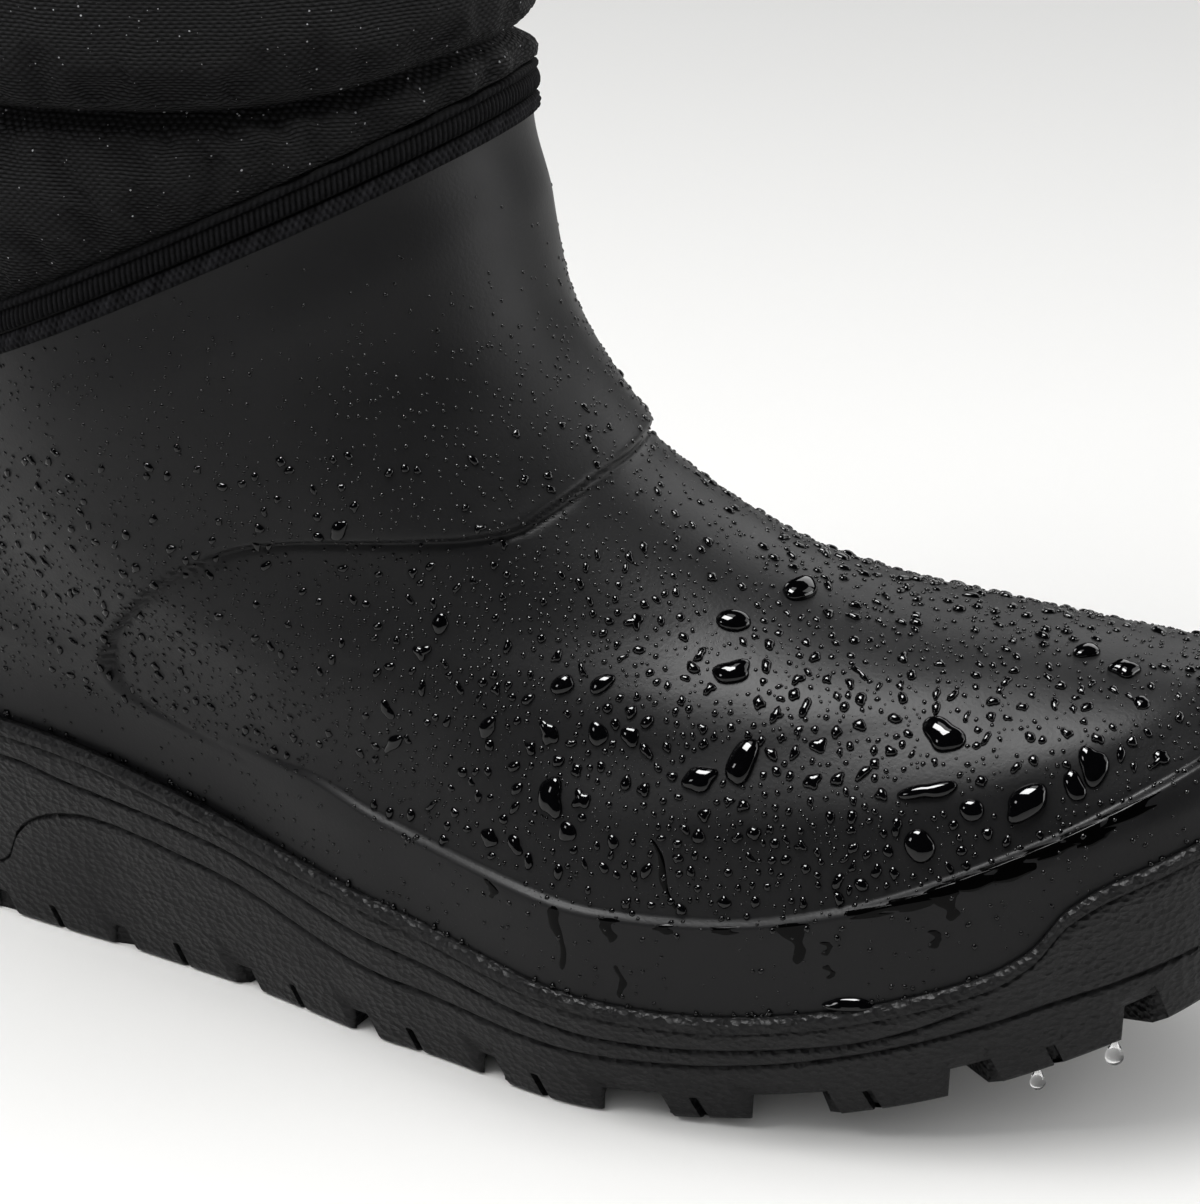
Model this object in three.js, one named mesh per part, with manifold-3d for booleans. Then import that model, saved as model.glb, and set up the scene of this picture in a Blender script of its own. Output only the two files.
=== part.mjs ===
// Pull-on snow boot for the right foot, EU size 42, standing empty on its sole.
// Units are millimetres. The toe points to +X, the outer side of the foot to -Y and up is +Z.
import * as THREE from 'three';
import { mergeVertices } from 'three/addons/utils/BufferGeometryUtils.js';
import Module from 'manifold-3d';

const wasm = await Module();
wasm.setup();

// Driving dimensions
const soleLength = 300;
const bootHeight = 256;
const clearance = 0.3;          // between two pieces that touch
const lipWidth = 3.2;           // sole lip, from its edge to the shell
const soleDraft = 6.3;          // the sole's edge at the floor, inside the lip
const lugHeight = 5;
const shellWall = 2.6;
const shaftWall = 8;            // woven face, padding and fleece together
const collarWall = 5.2;         // the same, pressed flat under the binding
const insoleThickness = 5;
const tapeThickness = 1.2;
const bindingThickness = 1.4;
const bindingDepth = 10;

// Mesh density
const ringPoints = 60;          // round every ring, even, with one at the toe and one at the heel
const shellRings = 23;
const liningRings = 11;

// The sole's lip in plan: along runs from 0 at the heel to 1 at the toe
const soleStations = [
  { along: 0.0, half: 38.5, centre: 6 },
  { along: 0.2, half: 38.5, centre: 5.2 },
  { along: 0.31, half: 38, centre: 1 },
  { along: 0.46, half: 41, centre: -6.2 },
  { along: 0.61, half: 54, centre: -0.5 },
  { along: 0.79, half: 53, centre: 3.9 },
  { along: 0.915, half: 50.5, centre: 8.5 },
  { along: 1.0, half: 49, centre: 11.5 },
];
const toeSquareness = 2.9;
const heelSquareness = 3.4;

// Heights along the sole, over the lifted underside: its lip, with the toe bumper, and the footbed
const soleHeights = [
  { x: -150, lip: 49, bed: 28 },
  { x: -110, lip: 49, bed: 28 },
  { x: -30, lip: 37, bed: 22 },
  { x: 60, lip: 25, bed: 14 },
  { x: 104, lip: 26.5, bed: 14 },
  { x: 112, lip: 29, bed: 14 },
  { x: 118, lip: 35, bed: 14 },
  { x: 125, lip: 37, bed: 14 },
  { x: 150, lip: 37.6, bed: 14 },
];
const toeSpring = { start: 29.5, rate: 0.0022 };

// Level sections of the boot above the sole: back and front ends, half widths at heel, waist and
// ball, where the ball lies along the section, and how square the section is at toe and heel
const sections = [
  { height: 45, back: -146.5, front: 144.5, heel: 35.5, waist: 38.5, ball: 52, ballAt: 0.62,
    toe: 2.7, counter: 3.3 },
  { height: 60, back: -146, front: 135, heel: 36.5, waist: 38.5, ball: 50, ballAt: 0.66,
    toe: 2.4, counter: 3.1 },
  { height: 75, back: -144.5, front: 107, heel: 38.5, waist: 41, ball: 44.5, ballAt: 0.7,
    toe: 2.3, counter: 2.8 },
  { height: 92, back: -142, front: 58, heel: 41.5, waist: 46, ball: 42.5, ballAt: 0.72,
    toe: 2.2, counter: 2.5 },
  { height: 115, back: -139.5, front: 20.6, heel: 46, waist: 50.5, ball: 47, ballAt: 0.72,
    toe: 2.1, counter: 2.3 },
  { height: 145, back: -138.5, front: 2.2, heel: 50.5, waist: 54.5, ball: 50, ballAt: 0.72,
    toe: 2, counter: 2.2 },
  { height: 185, back: -139, front: -3.4, heel: 54.5, waist: 56, ball: 54, ballAt: 0.72,
    toe: 2, counter: 2.2 },
  { height: 256, back: -142, front: -7.3, heel: 57.5, waist: 59, ball: 57, ballAt: 0.72,
    toe: 2, counter: 2.2 },
];
const heelAt = 0.18;
const waistAt = 0.45;
const footTop = 110;            // over this height the sections stand centred on the leg
const footFade = 60;
const seatBlend = 22;           // height over the lip in which the seat turns into the sections

// The slanting seam between shell and shaft
const seamFront = 177;
const seamBack = 115.7;
const seamCover = 5;            // the shell goes on under the tapes by this much
const edgeTapeHeight = 3.6;
const seamTapeHeight = 5.8;

// The fold that runs level round the padded shaft
const foldHeight = 188;
const foldDepth = 3.2;
const foldReach = 5.5;

// Gaps between the edge lugs, and the slits in the middle of the lugs
const lugGaps = [
  { x: -116, width: 6, run: 16 },
  { x: -85, width: 6, run: 16 },
  { x: -53, width: 6.5, run: 17 },
  { x: -23, width: 7, run: 18 },
  { x: 7.5, width: 7, run: 19 },
  { x: 38, width: 14, run: 20 },
  { x: 68, width: 17, run: 20 },
  { x: 100, width: 10, run: 20 },
  { x: 128, width: 9, run: 18 },
];
const slits = [-101, -69, -39, -10, 19.5, 51, 83, 114];
const slitWidth = 1.6;
const slitHeight = 5.5;
const slitDepth = 2.2;
const treadBorder = { outer: 17, inner: 21.5 };
const crossChannels = [-103, -72, 24, 52, 82, 108];
const borderHeight = 4.8;
const crossWidth = 5;
const crossHeight = 4.5;
const archPanel = { from: -52, to: 4 };

const colors = {
  sole: 0x1b1b1c,
  shell: 0x202122,
  shaft: 0x1a1b1c,
  tape: 0x161617,
  insole: 0x3a3a3b,
};

const clamp = (value, low, high) => Math.min(high, Math.max(low, value));
const mix = (a, b, share) => a + (b - a) * share;

function smoothStep(share) {
  const s = clamp(share, 0, 1);
  return s * s * (3 - 2 * s);
}

// A monotone cubic through one column of a table (Fritsch and Carlson), held level past its ends
function curve(rows, at, column) {
  const xs = rows.map((row) => row[at]);
  const ys = rows.map((row) => row[column]);
  const last = xs.length - 1;
  const steps = xs.slice(1).map((x, i) => x - xs[i]);
  const slopes = steps.map((step, i) => (ys[i + 1] - ys[i]) / step);
  const tangents = xs.map((x, i) => {
    if (i === 0 || i === last) return 0;
    if (slopes[i - 1] * slopes[i] <= 0) return 0;
    const before = 2 * steps[i] + steps[i - 1];
    const after = steps[i] + 2 * steps[i - 1];
    return (before + after) / (before / slopes[i - 1] + after / slopes[i]);
  });
  tangents[0] = slopes[0];
  tangents[last] = slopes[last - 1];
  return (value) => {
    const x = clamp(value, xs[0], xs[last]);
    let i = 0;
    while (i < last - 1 && x > xs[i + 1]) i += 1;
    const s = (x - xs[i]) / steps[i];
    const rise = tangents[i] * steps[i] * s * (1 - s) * (1 - s);
    const fall = tangents[i + 1] * steps[i] * s * s * (s - 1);
    return mix(ys[i], ys[i + 1], s * s * (3 - 2 * s)) + rise + fall;
  };
}

const soleHalf = curve(soleStations, 'along', 'half');
const soleCentre = curve(soleStations, 'along', 'centre');
const lipHeight = curve(soleHeights, 'x', 'lip');
const bedHeight = curve(soleHeights, 'x', 'bed');
const sectionColumns = ['back', 'front', 'heel', 'waist', 'ball', 'ballAt', 'toe', 'counter'];
const sectionCurves = sectionColumns.map((column) => [column, curve(sections, 'height', column)]);

const angleOf = (i) => (2 * Math.PI * i) / ringPoints;
const alongOf = (angle) => 0.5 + 0.5 * Math.cos(angle);
const sideOf = (angle) => (Math.sin(angle) >= 0 ? -1 : 1);

function toeLift(x) {
  return toeSpring.rate * Math.max(x - toeSpring.start, 0) ** 2;
}

// How far a rounded end has closed in: 1 at the middle of the ring, 0 at its two ends
function endCap(angle, toe, heel) {
  const c = Math.cos(angle);
  const power = c > 0 ? toe : heel;
  return Math.max(1 - Math.abs(c) ** power, 0) ** (1 / power);
}

function solePlan(angle) {
  const along = alongOf(angle);
  const half = soleHalf(along) * endCap(angle, toeSquareness, heelSquareness);
  return [(along - 0.5) * soleLength, soleCentre(along) + sideOf(angle) * half];
}

// The sole's outline moved inwards by an even distance
function insetPlan(angle, inset) {
  const step = 0.002;
  const [x0, y0] = solePlan(angle - step);
  const [x1, y1] = solePlan(angle + step);
  const [x, y] = solePlan(angle);
  const size = Math.hypot(x1 - x0, y1 - y0);
  return [x + ((y1 - y0) / size) * inset, y - ((x1 - x0) / size) * inset];
}

// A smaller outline of the same kind, for insets too deep to follow the edge evenly
function shrunkPlan(angle, inset) {
  const along = alongOf(angle);
  const half = (soleHalf(along) - inset) * endCap(angle, toeSquareness, heelSquareness);
  return [(along - 0.5) * (soleLength - 2 * inset), soleCentre(along) + sideOf(angle) * half];
}

function sectionPlan(angle, height) {
  const row = Object.fromEntries(sectionCurves.map(([column, read]) => [column, read(height)]));
  const stations = [
    { along: 0, half: row.heel },
    { along: heelAt, half: row.heel },
    { along: waistAt, half: row.waist },
    { along: row.ballAt, half: row.ball },
    { along: 1, half: row.ball * 0.98 },
  ];
  const along = alongOf(angle);
  const half = curve(stations, 'along', 'half')(along) * endCap(angle, row.toe, row.counter);
  const foot = clamp((footTop - height) / footFade, 0, 1);
  return [mix(row.back, row.front, along), soleCentre(along) * foot + sideOf(angle) * half];
}

function foldInset(height) {
  return foldDepth * Math.exp(-(((height - foldHeight) / foldReach) ** 2));
}

// How far the sole's side leans in below its lip, and out above it
function draftAt(x, height) {
  return soleDraft * (1 - height / lipHeight(x));
}

// Outer form of shell and shaft: the seat inside the sole's lip, turning into the sections
function bootPoint(angle, height) {
  const draft = Math.max(draftAt(solePlan(angle)[0], height), 0);
  const [seatX, seatY] = insetPlan(angle, lipWidth + draft);
  const share = smoothStep((height - lipHeight(seatX)) / seatBlend);
  const [x, y] = share > 0 ? sectionPlan(angle, height) : [seatX, seatY];
  const px = mix(seatX, x, share);
  return new THREE.Vector3(px, mix(seatY, y, share), height + toeLift(px));
}

// The same form moved along its own normal, outwards where distance is positive
function bootOffset(angle, height, distance) {
  const across = bootPoint(angle + 0.004, height).sub(bootPoint(angle - 0.004, height));
  const upwards = bootPoint(angle, height + 0.4).sub(bootPoint(angle, height - 0.4));
  const normal = upwards.cross(across).normalize();
  return bootPoint(angle, height).addScaledVector(normal, distance);
}

const seamHeight = (angle) => mix(seamBack, seamFront, alongOf(angle));

// Heights from low to high at one angle, so that rings lie evenly spaced along the surface
function evenHeights(angle, low, high, count) {
  const samples = 90;
  const heights = Array.from({ length: samples + 1 }, (unused, k) => mix(low, high, k / samples));
  const points = heights.map((height) => bootPoint(angle, height));
  const lengths = [0];
  for (let k = 1; k <= samples; k += 1) {
    lengths.push(lengths[k - 1] + points[k].distanceTo(points[k - 1]));
  }
  const result = [];
  let k = 1;
  for (let ring = 0; ring < count; ring += 1) {
    const wanted = (lengths[samples] * ring) / (count - 1);
    while (k < samples && lengths[k] < wanted) k += 1;
    const share = clamp((wanted - lengths[k - 1]) / (lengths[k] - lengths[k - 1]), 0, 1);
    result.push(mix(heights[k - 1], heights[k], share));
  }
  return result;
}

function ringOf(pointAt) {
  return Array.from({ length: ringPoints }, (unused, i) => pointAt(angleOf(i), i));
}

// A mesh from rings of points and how they close: as a loop of rings or with two flat strips
function meshFromRings(rings, closeAsLoop) {
  const positions = rings.flat().flatMap((point) => point.toArray());
  const faces = [];
  const quad = (a, b, c, d) => {
    faces.push(a, b, c);
    faces.push(a, c, d);
  };
  const bands = closeAsLoop ? rings.length : rings.length - 1;
  for (let j = 0; j < bands; j += 1) {
    const low = j * ringPoints;
    const high = ((j + 1) % rings.length) * ringPoints;
    for (let i = 0; i < ringPoints; i += 1) {
      const next = (i + 1) % ringPoints;
      quad(low + i, high + i, high + next, low + next);
    }
  }
  if (!closeAsLoop) {
    const half = ringPoints / 2;
    const top = (rings.length - 1) * ringPoints;
    for (let i = 0; i < half; i += 1) {
      const mirror = (ringPoints - i) % ringPoints;
      const mirrorNext = ringPoints - i - 1;
      for (const [start, flip] of [[0, false], [top, true]]) {
        const corners = [start + i, start + i + 1, start + mirrorNext, start + mirror];
        if (flip) corners.reverse();
        const [a, b, c, d] = corners;
        if (i === 0 && !flip) faces.push(a, b, c);
        else if (i === 0) faces.push(b, c, d);
        else if (i === half - 1 && !flip) faces.push(a, b, d);
        else if (i === half - 1) faces.push(a, c, d);
        else quad(a, b, c, d);
      }
    }
  }
  return facingOut(positions, faces);
}

function facingOut(positions, faces) {
  const point = (index) => new THREE.Vector3().fromArray(positions, index * 3);
  let volume = 0;
  for (let f = 0; f < faces.length; f += 3) {
    const [a, b, c] = [point(faces[f]), point(faces[f + 1]), point(faces[f + 2])];
    volume += a.dot(b.cross(c));
  }
  if (volume < 0) faces.reverse();
  const geometry = new THREE.BufferGeometry();
  geometry.setAttribute('position', new THREE.Float32BufferAttribute(positions, 3));
  geometry.setIndex(faces);
  return geometry;
}

function toSolid(source) {
  const plain = source.clone();
  plain.deleteAttribute('normal');
  plain.deleteAttribute('uv');
  const merged = mergeVertices(plain, 0.0005);
  const vertProperties = new Float32Array(merged.attributes.position.array);
  const triVerts = new Uint32Array(merged.index.array);
  return new wasm.Manifold(new wasm.Mesh({ numProp: 3, vertProperties, triVerts }));
}

function toGeometry(solid) {
  const mesh = solid.getMesh();
  const geometry = new THREE.BufferGeometry();
  geometry.setAttribute('position', new THREE.BufferAttribute(mesh.vertProperties, 3));
  geometry.setIndex(new THREE.BufferAttribute(mesh.triVerts, 1));
  return geometry;
}

// A wall between an outer and an inner run of rings, open in the middle
function wallGeometry(outerRings, innerRings) {
  return meshFromRings([...outerRings, ...innerRings.slice().reverse()], true);
}

function gridOnBoot(lowAt, highAt, count, distance) {
  const columns = ringOf((angle) => {
    const heights = evenHeights(angle, lowAt(angle), highAt(angle), count);
    return heights.map((height) => bootOffset(angle, height, distance));
  });
  return Array.from({ length: count }, (unused, j) => columns.map((column) => column[j]));
}

function shellGeometry() {
  const bottom = (angle) => bedHeight(insetPlan(angle, lipWidth)[0]) + clearance;
  const top = (angle) => seamHeight(angle) + seamCover;
  const outer = gridOnBoot(bottom, top, shellRings, 0);
  const inner = gridOnBoot(bottom, top, liningRings, -shellWall);
  return wallGeometry(outer, inner);
}

// Rings on the boot at given heights, each height and distance a function of the angle
function levelsOnBoot(levels) {
  return levels.map(([heightAt, distance]) => ringOf((angle) => {
    const height = heightAt(angle);
    return bootOffset(angle, height, distance - (distance > -shaftWall / 2 ? foldInset(height) : 0));
  }));
}

function shaftGeometry() {
  const bottom = (angle) => seamHeight(angle) + seamCover + clearance;
  const foldLow = foldHeight - foldReach;
  const foldHigh = foldHeight + foldReach;
  const collarLow = bootHeight - bindingDepth - 2;
  const top = bootHeight - bindingThickness - clearance;
  const between = (share) => (angle) => mix(bottom(angle), foldLow, share);
  const outer = levelsOnBoot([
    [bottom, 0],
    [between(0.33), 0],
    [between(0.67), 0],
    [() => foldLow, 0],
    [() => mix(foldLow, foldHeight, 0.5), 0],
    [() => foldHeight, 0],
    [() => mix(foldHeight, foldHigh, 0.5), 0],
    [() => foldHigh, 0],
    [() => mix(foldHigh, collarLow, 0.33), 0],
    [() => mix(foldHigh, collarLow, 0.67), 0],
    [() => collarLow, 0],
    [() => top, 0],
  ]);
  const inner = levelsOnBoot([
    [bottom, -shaftWall],
    [between(0.5), -shaftWall],
    [() => foldHigh, -shaftWall],
    [() => mix(foldHigh, collarLow, 0.67), -shaftWall],
    [() => collarLow, -collarWall],
    [() => top, -collarWall],
  ]);
  return wallGeometry(outer, inner);
}

// A band that lies on the boot between two heights over the seam
function tapeGeometry(from, to) {
  const bottom = (angle) => seamHeight(angle) + from;
  const top = (angle) => seamHeight(angle) + to;
  const outer = gridOnBoot(bottom, top, 2, clearance + tapeThickness);
  const inner = gridOnBoot(bottom, top, 2, clearance);
  return wallGeometry(outer, inner);
}

// A folded tape over the shaft's top edge, with one leg outside and one inside
function bindingGeometry() {
  const inside = -collarWall - clearance;
  const low = bootHeight - bindingDepth;
  const underTop = bootHeight - bindingThickness;
  const profile = [
    [clearance, low],
    [clearance + bindingThickness, low],
    [clearance + bindingThickness, bootHeight - bindingThickness],
    [0, bootHeight],
    [-collarWall, bootHeight],
    [inside - bindingThickness, bootHeight - bindingThickness],
    [inside - bindingThickness, low],
    [inside, low],
    [inside, underTop],
    [clearance, underTop],
  ];
  const rings = profile.map(([distance, height]) => ringOf((angle) => {
    const point = bootOffset(angle, height, distance);
    return point.setZ(height);
  }));
  return meshFromRings(rings, true);
}

function insoleGeometry() {
  const inset = (x) => lipWidth + shellWall + 2 * clearance + draftAt(x, bedHeight(x));
  return soleLoft([
    [inset, (x) => bedHeight(x) + clearance],
    [inset, (x) => bedHeight(x) + insoleThickness - 1],
    [(x) => inset(x) + 1, (x) => bedHeight(x) + insoleThickness],
  ]);
}

// A slab or block that follows the sole in plan, one ring for each inset and height
function soleLoft(steps, plan = insetPlan) {
  return meshFromRings(steps.map(([insetAt, heightAt]) => ringOf((angle) => {
    const [x, y] = plan(angle, insetAt(solePlan(angle)[0]));
    return new THREE.Vector3(x, y, heightAt(x) + toeLift(x));
  })), false);
}

// A block with its top at the tread's depth, set square to the sole's edge and reaching inwards
function edgeCutter(angle, width, depth, height, flare) {
  const below = 4;
  const outside = 8;
  const [x, y] = insetPlan(angle, soleDraft);
  const [innerX, innerY] = insetPlan(angle, soleDraft + 1);
  const block = new THREE.BoxGeometry(width, depth + outside, height + below);
  const corners = block.attributes.position;
  for (let k = 0; k < corners.count; k += 1) {
    if (corners.getZ(k) < 0) corners.setX(k, corners.getX(k) * flare);
  }
  block.translate(0, (depth - outside) / 2, (height - below) / 2);
  block.rotateY(-Math.atan(2 * toeSpring.rate * Math.max(x - toeSpring.start, 0)));
  block.rotateZ(Math.atan2(innerY - y, innerX - x) - Math.PI / 2);
  block.translate(x, y, toeLift(x));
  return toSolid(block);
}

// The angle round the lip at which the sole's floor edge passes a place along the boot
function angleAt(x, side) {
  let low = 0;
  let high = Math.PI;
  for (let k = 0; k < 40; k += 1) {
    const middle = (low + high) / 2;
    if (insetPlan(middle, soleDraft)[0] > x) low = middle;
    else high = middle;
  }
  return side < 0 ? low : 2 * Math.PI - low;
}

function crossChannel(x, width, height) {
  const reach = soleLength / 2;
  const block = new THREE.BoxGeometry(width, reach, height + 4);
  block.translate(x, 0, height / 2 - 2 + toeLift(x));
  return toSolid(block);
}

function soleGeometry() {
  const lip = (x) => lipHeight(x);
  const outside = soleLoft([
    [() => soleDraft + 1.2, () => 0],
    [() => soleDraft, () => 1.2],
    [() => soleDraft * 0.5, (x) => lip(x) * 0.5],
    [() => 0.5, (x) => lip(x) - 3],
    [() => 0, (x) => lip(x) - 1.5],
    [() => 0.9, lip],
  ]);
  const cup = soleLoft([
    [(x) => lipWidth - clearance + draftAt(x, bedHeight(x)), bedHeight],
    [(x) => lipWidth - clearance + draftAt(x, lip(x) + 3), (x) => lip(x) + 3],
  ]);
  const tread = (inset) => toSolid(soleLoft([
    [() => soleDraft + inset, () => -3],
    [() => soleDraft + inset, () => borderHeight],
  ], shrunkPlan));
  const middle = tread(treadBorder.outer);
  const border = middle.subtract(tread(treadBorder.inner));
  const channels = crossChannels.map((x) => crossChannel(x, crossWidth, crossHeight));
  const archX = (archPanel.from + archPanel.to) / 2;
  channels.push(crossChannel(archX, archPanel.to - archPanel.from, crossHeight));
  let solid = toSolid(outside).subtract(toSolid(cup)).subtract(border);
  channels.forEach((channel) => {
    solid = solid.subtract(channel.intersect(middle));
  });
  for (const side of [-1, 1]) {
    lugGaps.forEach((row) => {
      solid = solid.subtract(edgeCutter(angleAt(row.x, side), row.width, row.run, lugHeight, 1.15));
    });
    slits.forEach((x) => {
      solid = solid.subtract(edgeCutter(angleAt(x, side), slitWidth, slitDepth, slitHeight, 1));
    });
  }
  solid = solid.subtract(edgeCutter(0, 8, 18, lugHeight, 1.15));
  solid = solid.subtract(edgeCutter(Math.PI, 8, 14, lugHeight, 1.15));
  const bodies = solid.decompose();
  bodies.sort((a, b) => b.volume() - a.volume());
  return toGeometry(bodies[0].simplify(0.04));
}

const boot = new THREE.Group();

function add(name, geometry, color, roughness) {
  const material = new THREE.MeshStandardMaterial({ color, roughness, metalness: 0 });
  const mesh = new THREE.Mesh(geometry, material);
  mesh.name = name;
  boot.add(mesh);
}

add('sole', soleGeometry(), colors.sole, 0.62);
add('shell', shellGeometry(), colors.shell, 0.55);
add('shaft', shaftGeometry(), colors.shaft, 0.92);
add('edge_tape', tapeGeometry(0, edgeTapeHeight), colors.tape, 0.9);
const seamTapeStart = edgeTapeHeight + clearance;
add('seam_tape', tapeGeometry(seamTapeStart, seamTapeStart + seamTapeHeight), colors.tape, 0.9);
add('collar_binding', bindingGeometry(), colors.tape, 0.9);
add('insole', insoleGeometry(), colors.insole, 0.95);

export default boot;
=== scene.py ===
# Right snow boot: rubber shell in a cupped sole, woven padded shaft, taped seam, bound collar.
import math
import bpy
import numpy as np
from mathutils import Matrix, Vector
from mathutils.bvhtree import BVHTree
from mathutils.kdtree import KDTree


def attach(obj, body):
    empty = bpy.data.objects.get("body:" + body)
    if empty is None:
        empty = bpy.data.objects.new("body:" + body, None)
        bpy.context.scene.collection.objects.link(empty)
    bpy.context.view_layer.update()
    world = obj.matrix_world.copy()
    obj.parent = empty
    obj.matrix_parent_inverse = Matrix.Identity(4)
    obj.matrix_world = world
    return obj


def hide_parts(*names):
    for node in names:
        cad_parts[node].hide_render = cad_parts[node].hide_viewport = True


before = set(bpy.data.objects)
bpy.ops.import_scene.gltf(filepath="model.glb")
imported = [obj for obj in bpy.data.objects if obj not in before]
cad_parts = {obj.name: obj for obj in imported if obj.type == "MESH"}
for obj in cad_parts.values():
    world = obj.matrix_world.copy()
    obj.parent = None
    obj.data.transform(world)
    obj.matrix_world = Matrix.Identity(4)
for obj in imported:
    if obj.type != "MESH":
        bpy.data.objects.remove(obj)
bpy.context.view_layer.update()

mm = 0.001
bpy.ops.object.select_all(action="DESELECT")

# the last, in millimetres

sole = {
    "length": 300, "lipWidth": 3.2, "draft": 6.3, "toeSquareness": 2.9, "heelSquareness": 3.4,
    "springStart": 29.5, "springRate": 0.0022,
    "underLip": (4.1, 3.7, 3.4, 3.1, 2.8, 2.3, 1.6, 0.9, 0.4, 0.1, 0),
    # the lip in plan: 0 at the heel, 1 at the toe
    "along":  (0, 0.2, 0.31, 0.46, 0.61, 0.79, 0.915, 1),
    "half":   (38.5, 38.5, 38, 41, 54, 53, 50.5, 49),
    "centre": (6, 5.2, 1, -6.2, -0.5, 3.9, 8.5, 11.5),
    # heights over the lifted underside
    "x":      (-150, -110, -30, 60, 104, 112, 118, 125, 150),
    "lip":    (49, 49, 37, 25, 26.5, 29, 35, 37, 37.6),
    "bed":    (28, 28, 22, 14, 14, 14, 14, 14, 14),
}

upper = {
    "footTop": 110, "footFade": 60, "seatBlend": 22, "heelAt": 0.18, "waistAt": 0.45,
    # level sections, from just over the sole to the collar
    "height":  (45, 60, 75, 92, 115, 145, 185, 256),
    "back":    (-146.5, -146, -144.5, -142, -139.5, -138.5, -139, -142),
    "front":   (144.5, 135, 107, 58, 20.6, 2.2, -3.4, -7.3),
    "heel":    (35.5, 36.5, 38.5, 41.5, 46, 50.5, 54.5, 57.5),
    "waist":   (38.5, 38.5, 41, 46, 50.5, 54.5, 56, 59),
    "ball":    (52, 50, 44.5, 42.5, 47, 50, 54, 57),
    "ballAt":  (0.62, 0.66, 0.7, 0.72, 0.72, 0.72, 0.72, 0.72),
    "toe":     (2.7, 2.4, 2.3, 2.2, 2.1, 2, 2, 2),
    "counter": (3.3, 3.1, 2.8, 2.5, 2.3, 2.2, 2.2, 2.2),
}

seam = {"front": 177, "back": 115.7, "cover": 5, "edgeTape": 3.6, "ribTape": 5.8, "gap": 0.3,
        "thick": 1.2}


def cubicSlopes(xs, ys):
    # Fritsch and Carlson slopes, for numbers or for arrays that hold one curve in each column
    steps = [xs[i + 1] - xs[i] for i in range(len(xs) - 1)]
    slopes = [(ys[i + 1] - ys[i]) / steps[i] for i in range(len(steps))]
    result = [slopes[0]]
    for i in range(1, len(steps)):
        before = 2 * steps[i] + steps[i - 1]
        after = steps[i] + 2 * steps[i - 1]
        product = slopes[i - 1] * slopes[i]
        with np.errstate(divide="ignore", invalid="ignore"):
            mean = (before + after) / (before / slopes[i - 1] + after / slopes[i])
        result.append(np.where(product > 0, mean, 0.0))
    result.append(slopes[-1])
    return steps, result


def cubic(xs, ys, value):
    xs = [np.float64(x) if np.isscalar(x) else x for x in xs]
    ys = [np.float64(y) if np.isscalar(y) else y for y in ys]
    steps, tangents = cubicSlopes(xs, ys)
    v = np.clip(value, xs[0], xs[-1])
    total = np.zeros(np.shape(v))
    for i, step in enumerate(steps):
        last = i == len(steps) - 1
        inside = (v >= xs[i]) & ((v <= xs[i + 1]) if last else (v < xs[i + 1]))
        s = np.clip((v - xs[i]) / step, 0, 1)
        part = ys[i] + (ys[i + 1] - ys[i]) * s * s * (3 - 2 * s)
        part = part + tangents[i] * step * s * (1 - s) ** 2 + tangents[i + 1] * step * s * s * (s - 1)
        total = np.where(inside, part, total)
    return total


def smooth(share):
    s = np.clip(share, 0, 1)
    return s * s * (3 - 2 * s)


def toeLift(x):
    return sole["springRate"] * np.maximum(x - sole["springStart"], 0) ** 2


def lipHeight(x):
    return cubic(sole["x"], sole["lip"], x)


def bedHeight(x):
    return cubic(sole["x"], sole["bed"], x)


def soleCentre(angle):
    return cubic(sole["along"], sole["centre"], 0.5 + 0.5 * np.cos(angle))


def endCap(angle, toe, heel):
    c = np.cos(angle)
    power = np.where(c > 0, toe, heel)
    return np.maximum(1 - np.abs(c) ** power, 0) ** (1 / power)


def sideOf(angle):
    return np.where(np.sin(angle) >= 0, -1.0, 1.0)


def solePlan(angle, shrink=0.0):
    along = 0.5 + 0.5 * np.cos(angle)
    half = cubic(sole["along"], sole["half"], along) - shrink
    y = cubic(sole["along"], sole["centre"], along)
    y = y + sideOf(angle) * half * endCap(angle, sole["toeSquareness"], sole["heelSquareness"])
    return np.stack([(along - 0.5) * (sole["length"] - 2 * shrink), y], -1)


def insetPlan(angle, inset):
    ahead = solePlan(angle + 0.002) - solePlan(angle - 0.002)
    size = np.maximum(np.hypot(ahead[..., 0], ahead[..., 1]), 1e-9)
    inwards = np.stack([ahead[..., 1] / size, -ahead[..., 0] / size], -1)
    return solePlan(angle) + inwards * np.asarray(inset)[..., None]


def sectionPlan(angle, height):
    row = {name: cubic(upper["height"], upper[name], height)
           for name in ("back", "front", "heel", "waist", "ball", "ballAt", "toe", "counter")}
    along = 0.5 + 0.5 * np.cos(angle)
    places = [0.0, upper["heelAt"], upper["waistAt"], row["ballAt"], 1.0]
    halves = [row["heel"], row["heel"], row["waist"], row["ball"], row["ball"] * 0.98]
    half = cubic([np.broadcast_to(p, np.shape(angle)) for p in places], halves, along)
    half = half * endCap(angle, row["toe"], row["counter"])
    foot = np.clip((upper["footTop"] - height) / upper["footFade"], 0, 1)
    centre = cubic(sole["along"], sole["centre"], along) * foot
    x = row["back"] + (row["front"] - row["back"]) * along
    return np.stack([x, centre + sideOf(angle) * half], -1)


def bootPoint(angle, height):
    lip = lipHeight(solePlan(angle)[..., 0])
    seat = insetPlan(angle, sole["lipWidth"] + sole["draft"] * np.maximum(1 - height / lip, 0))
    share = smooth((height - lipHeight(seat[..., 0])) / upper["seatBlend"])[..., None]
    plan = seat + (sectionPlan(angle, height) - seat) * share
    return np.concatenate([plan, (height + toeLift(plan[..., 0]))[..., None]], -1)


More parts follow.
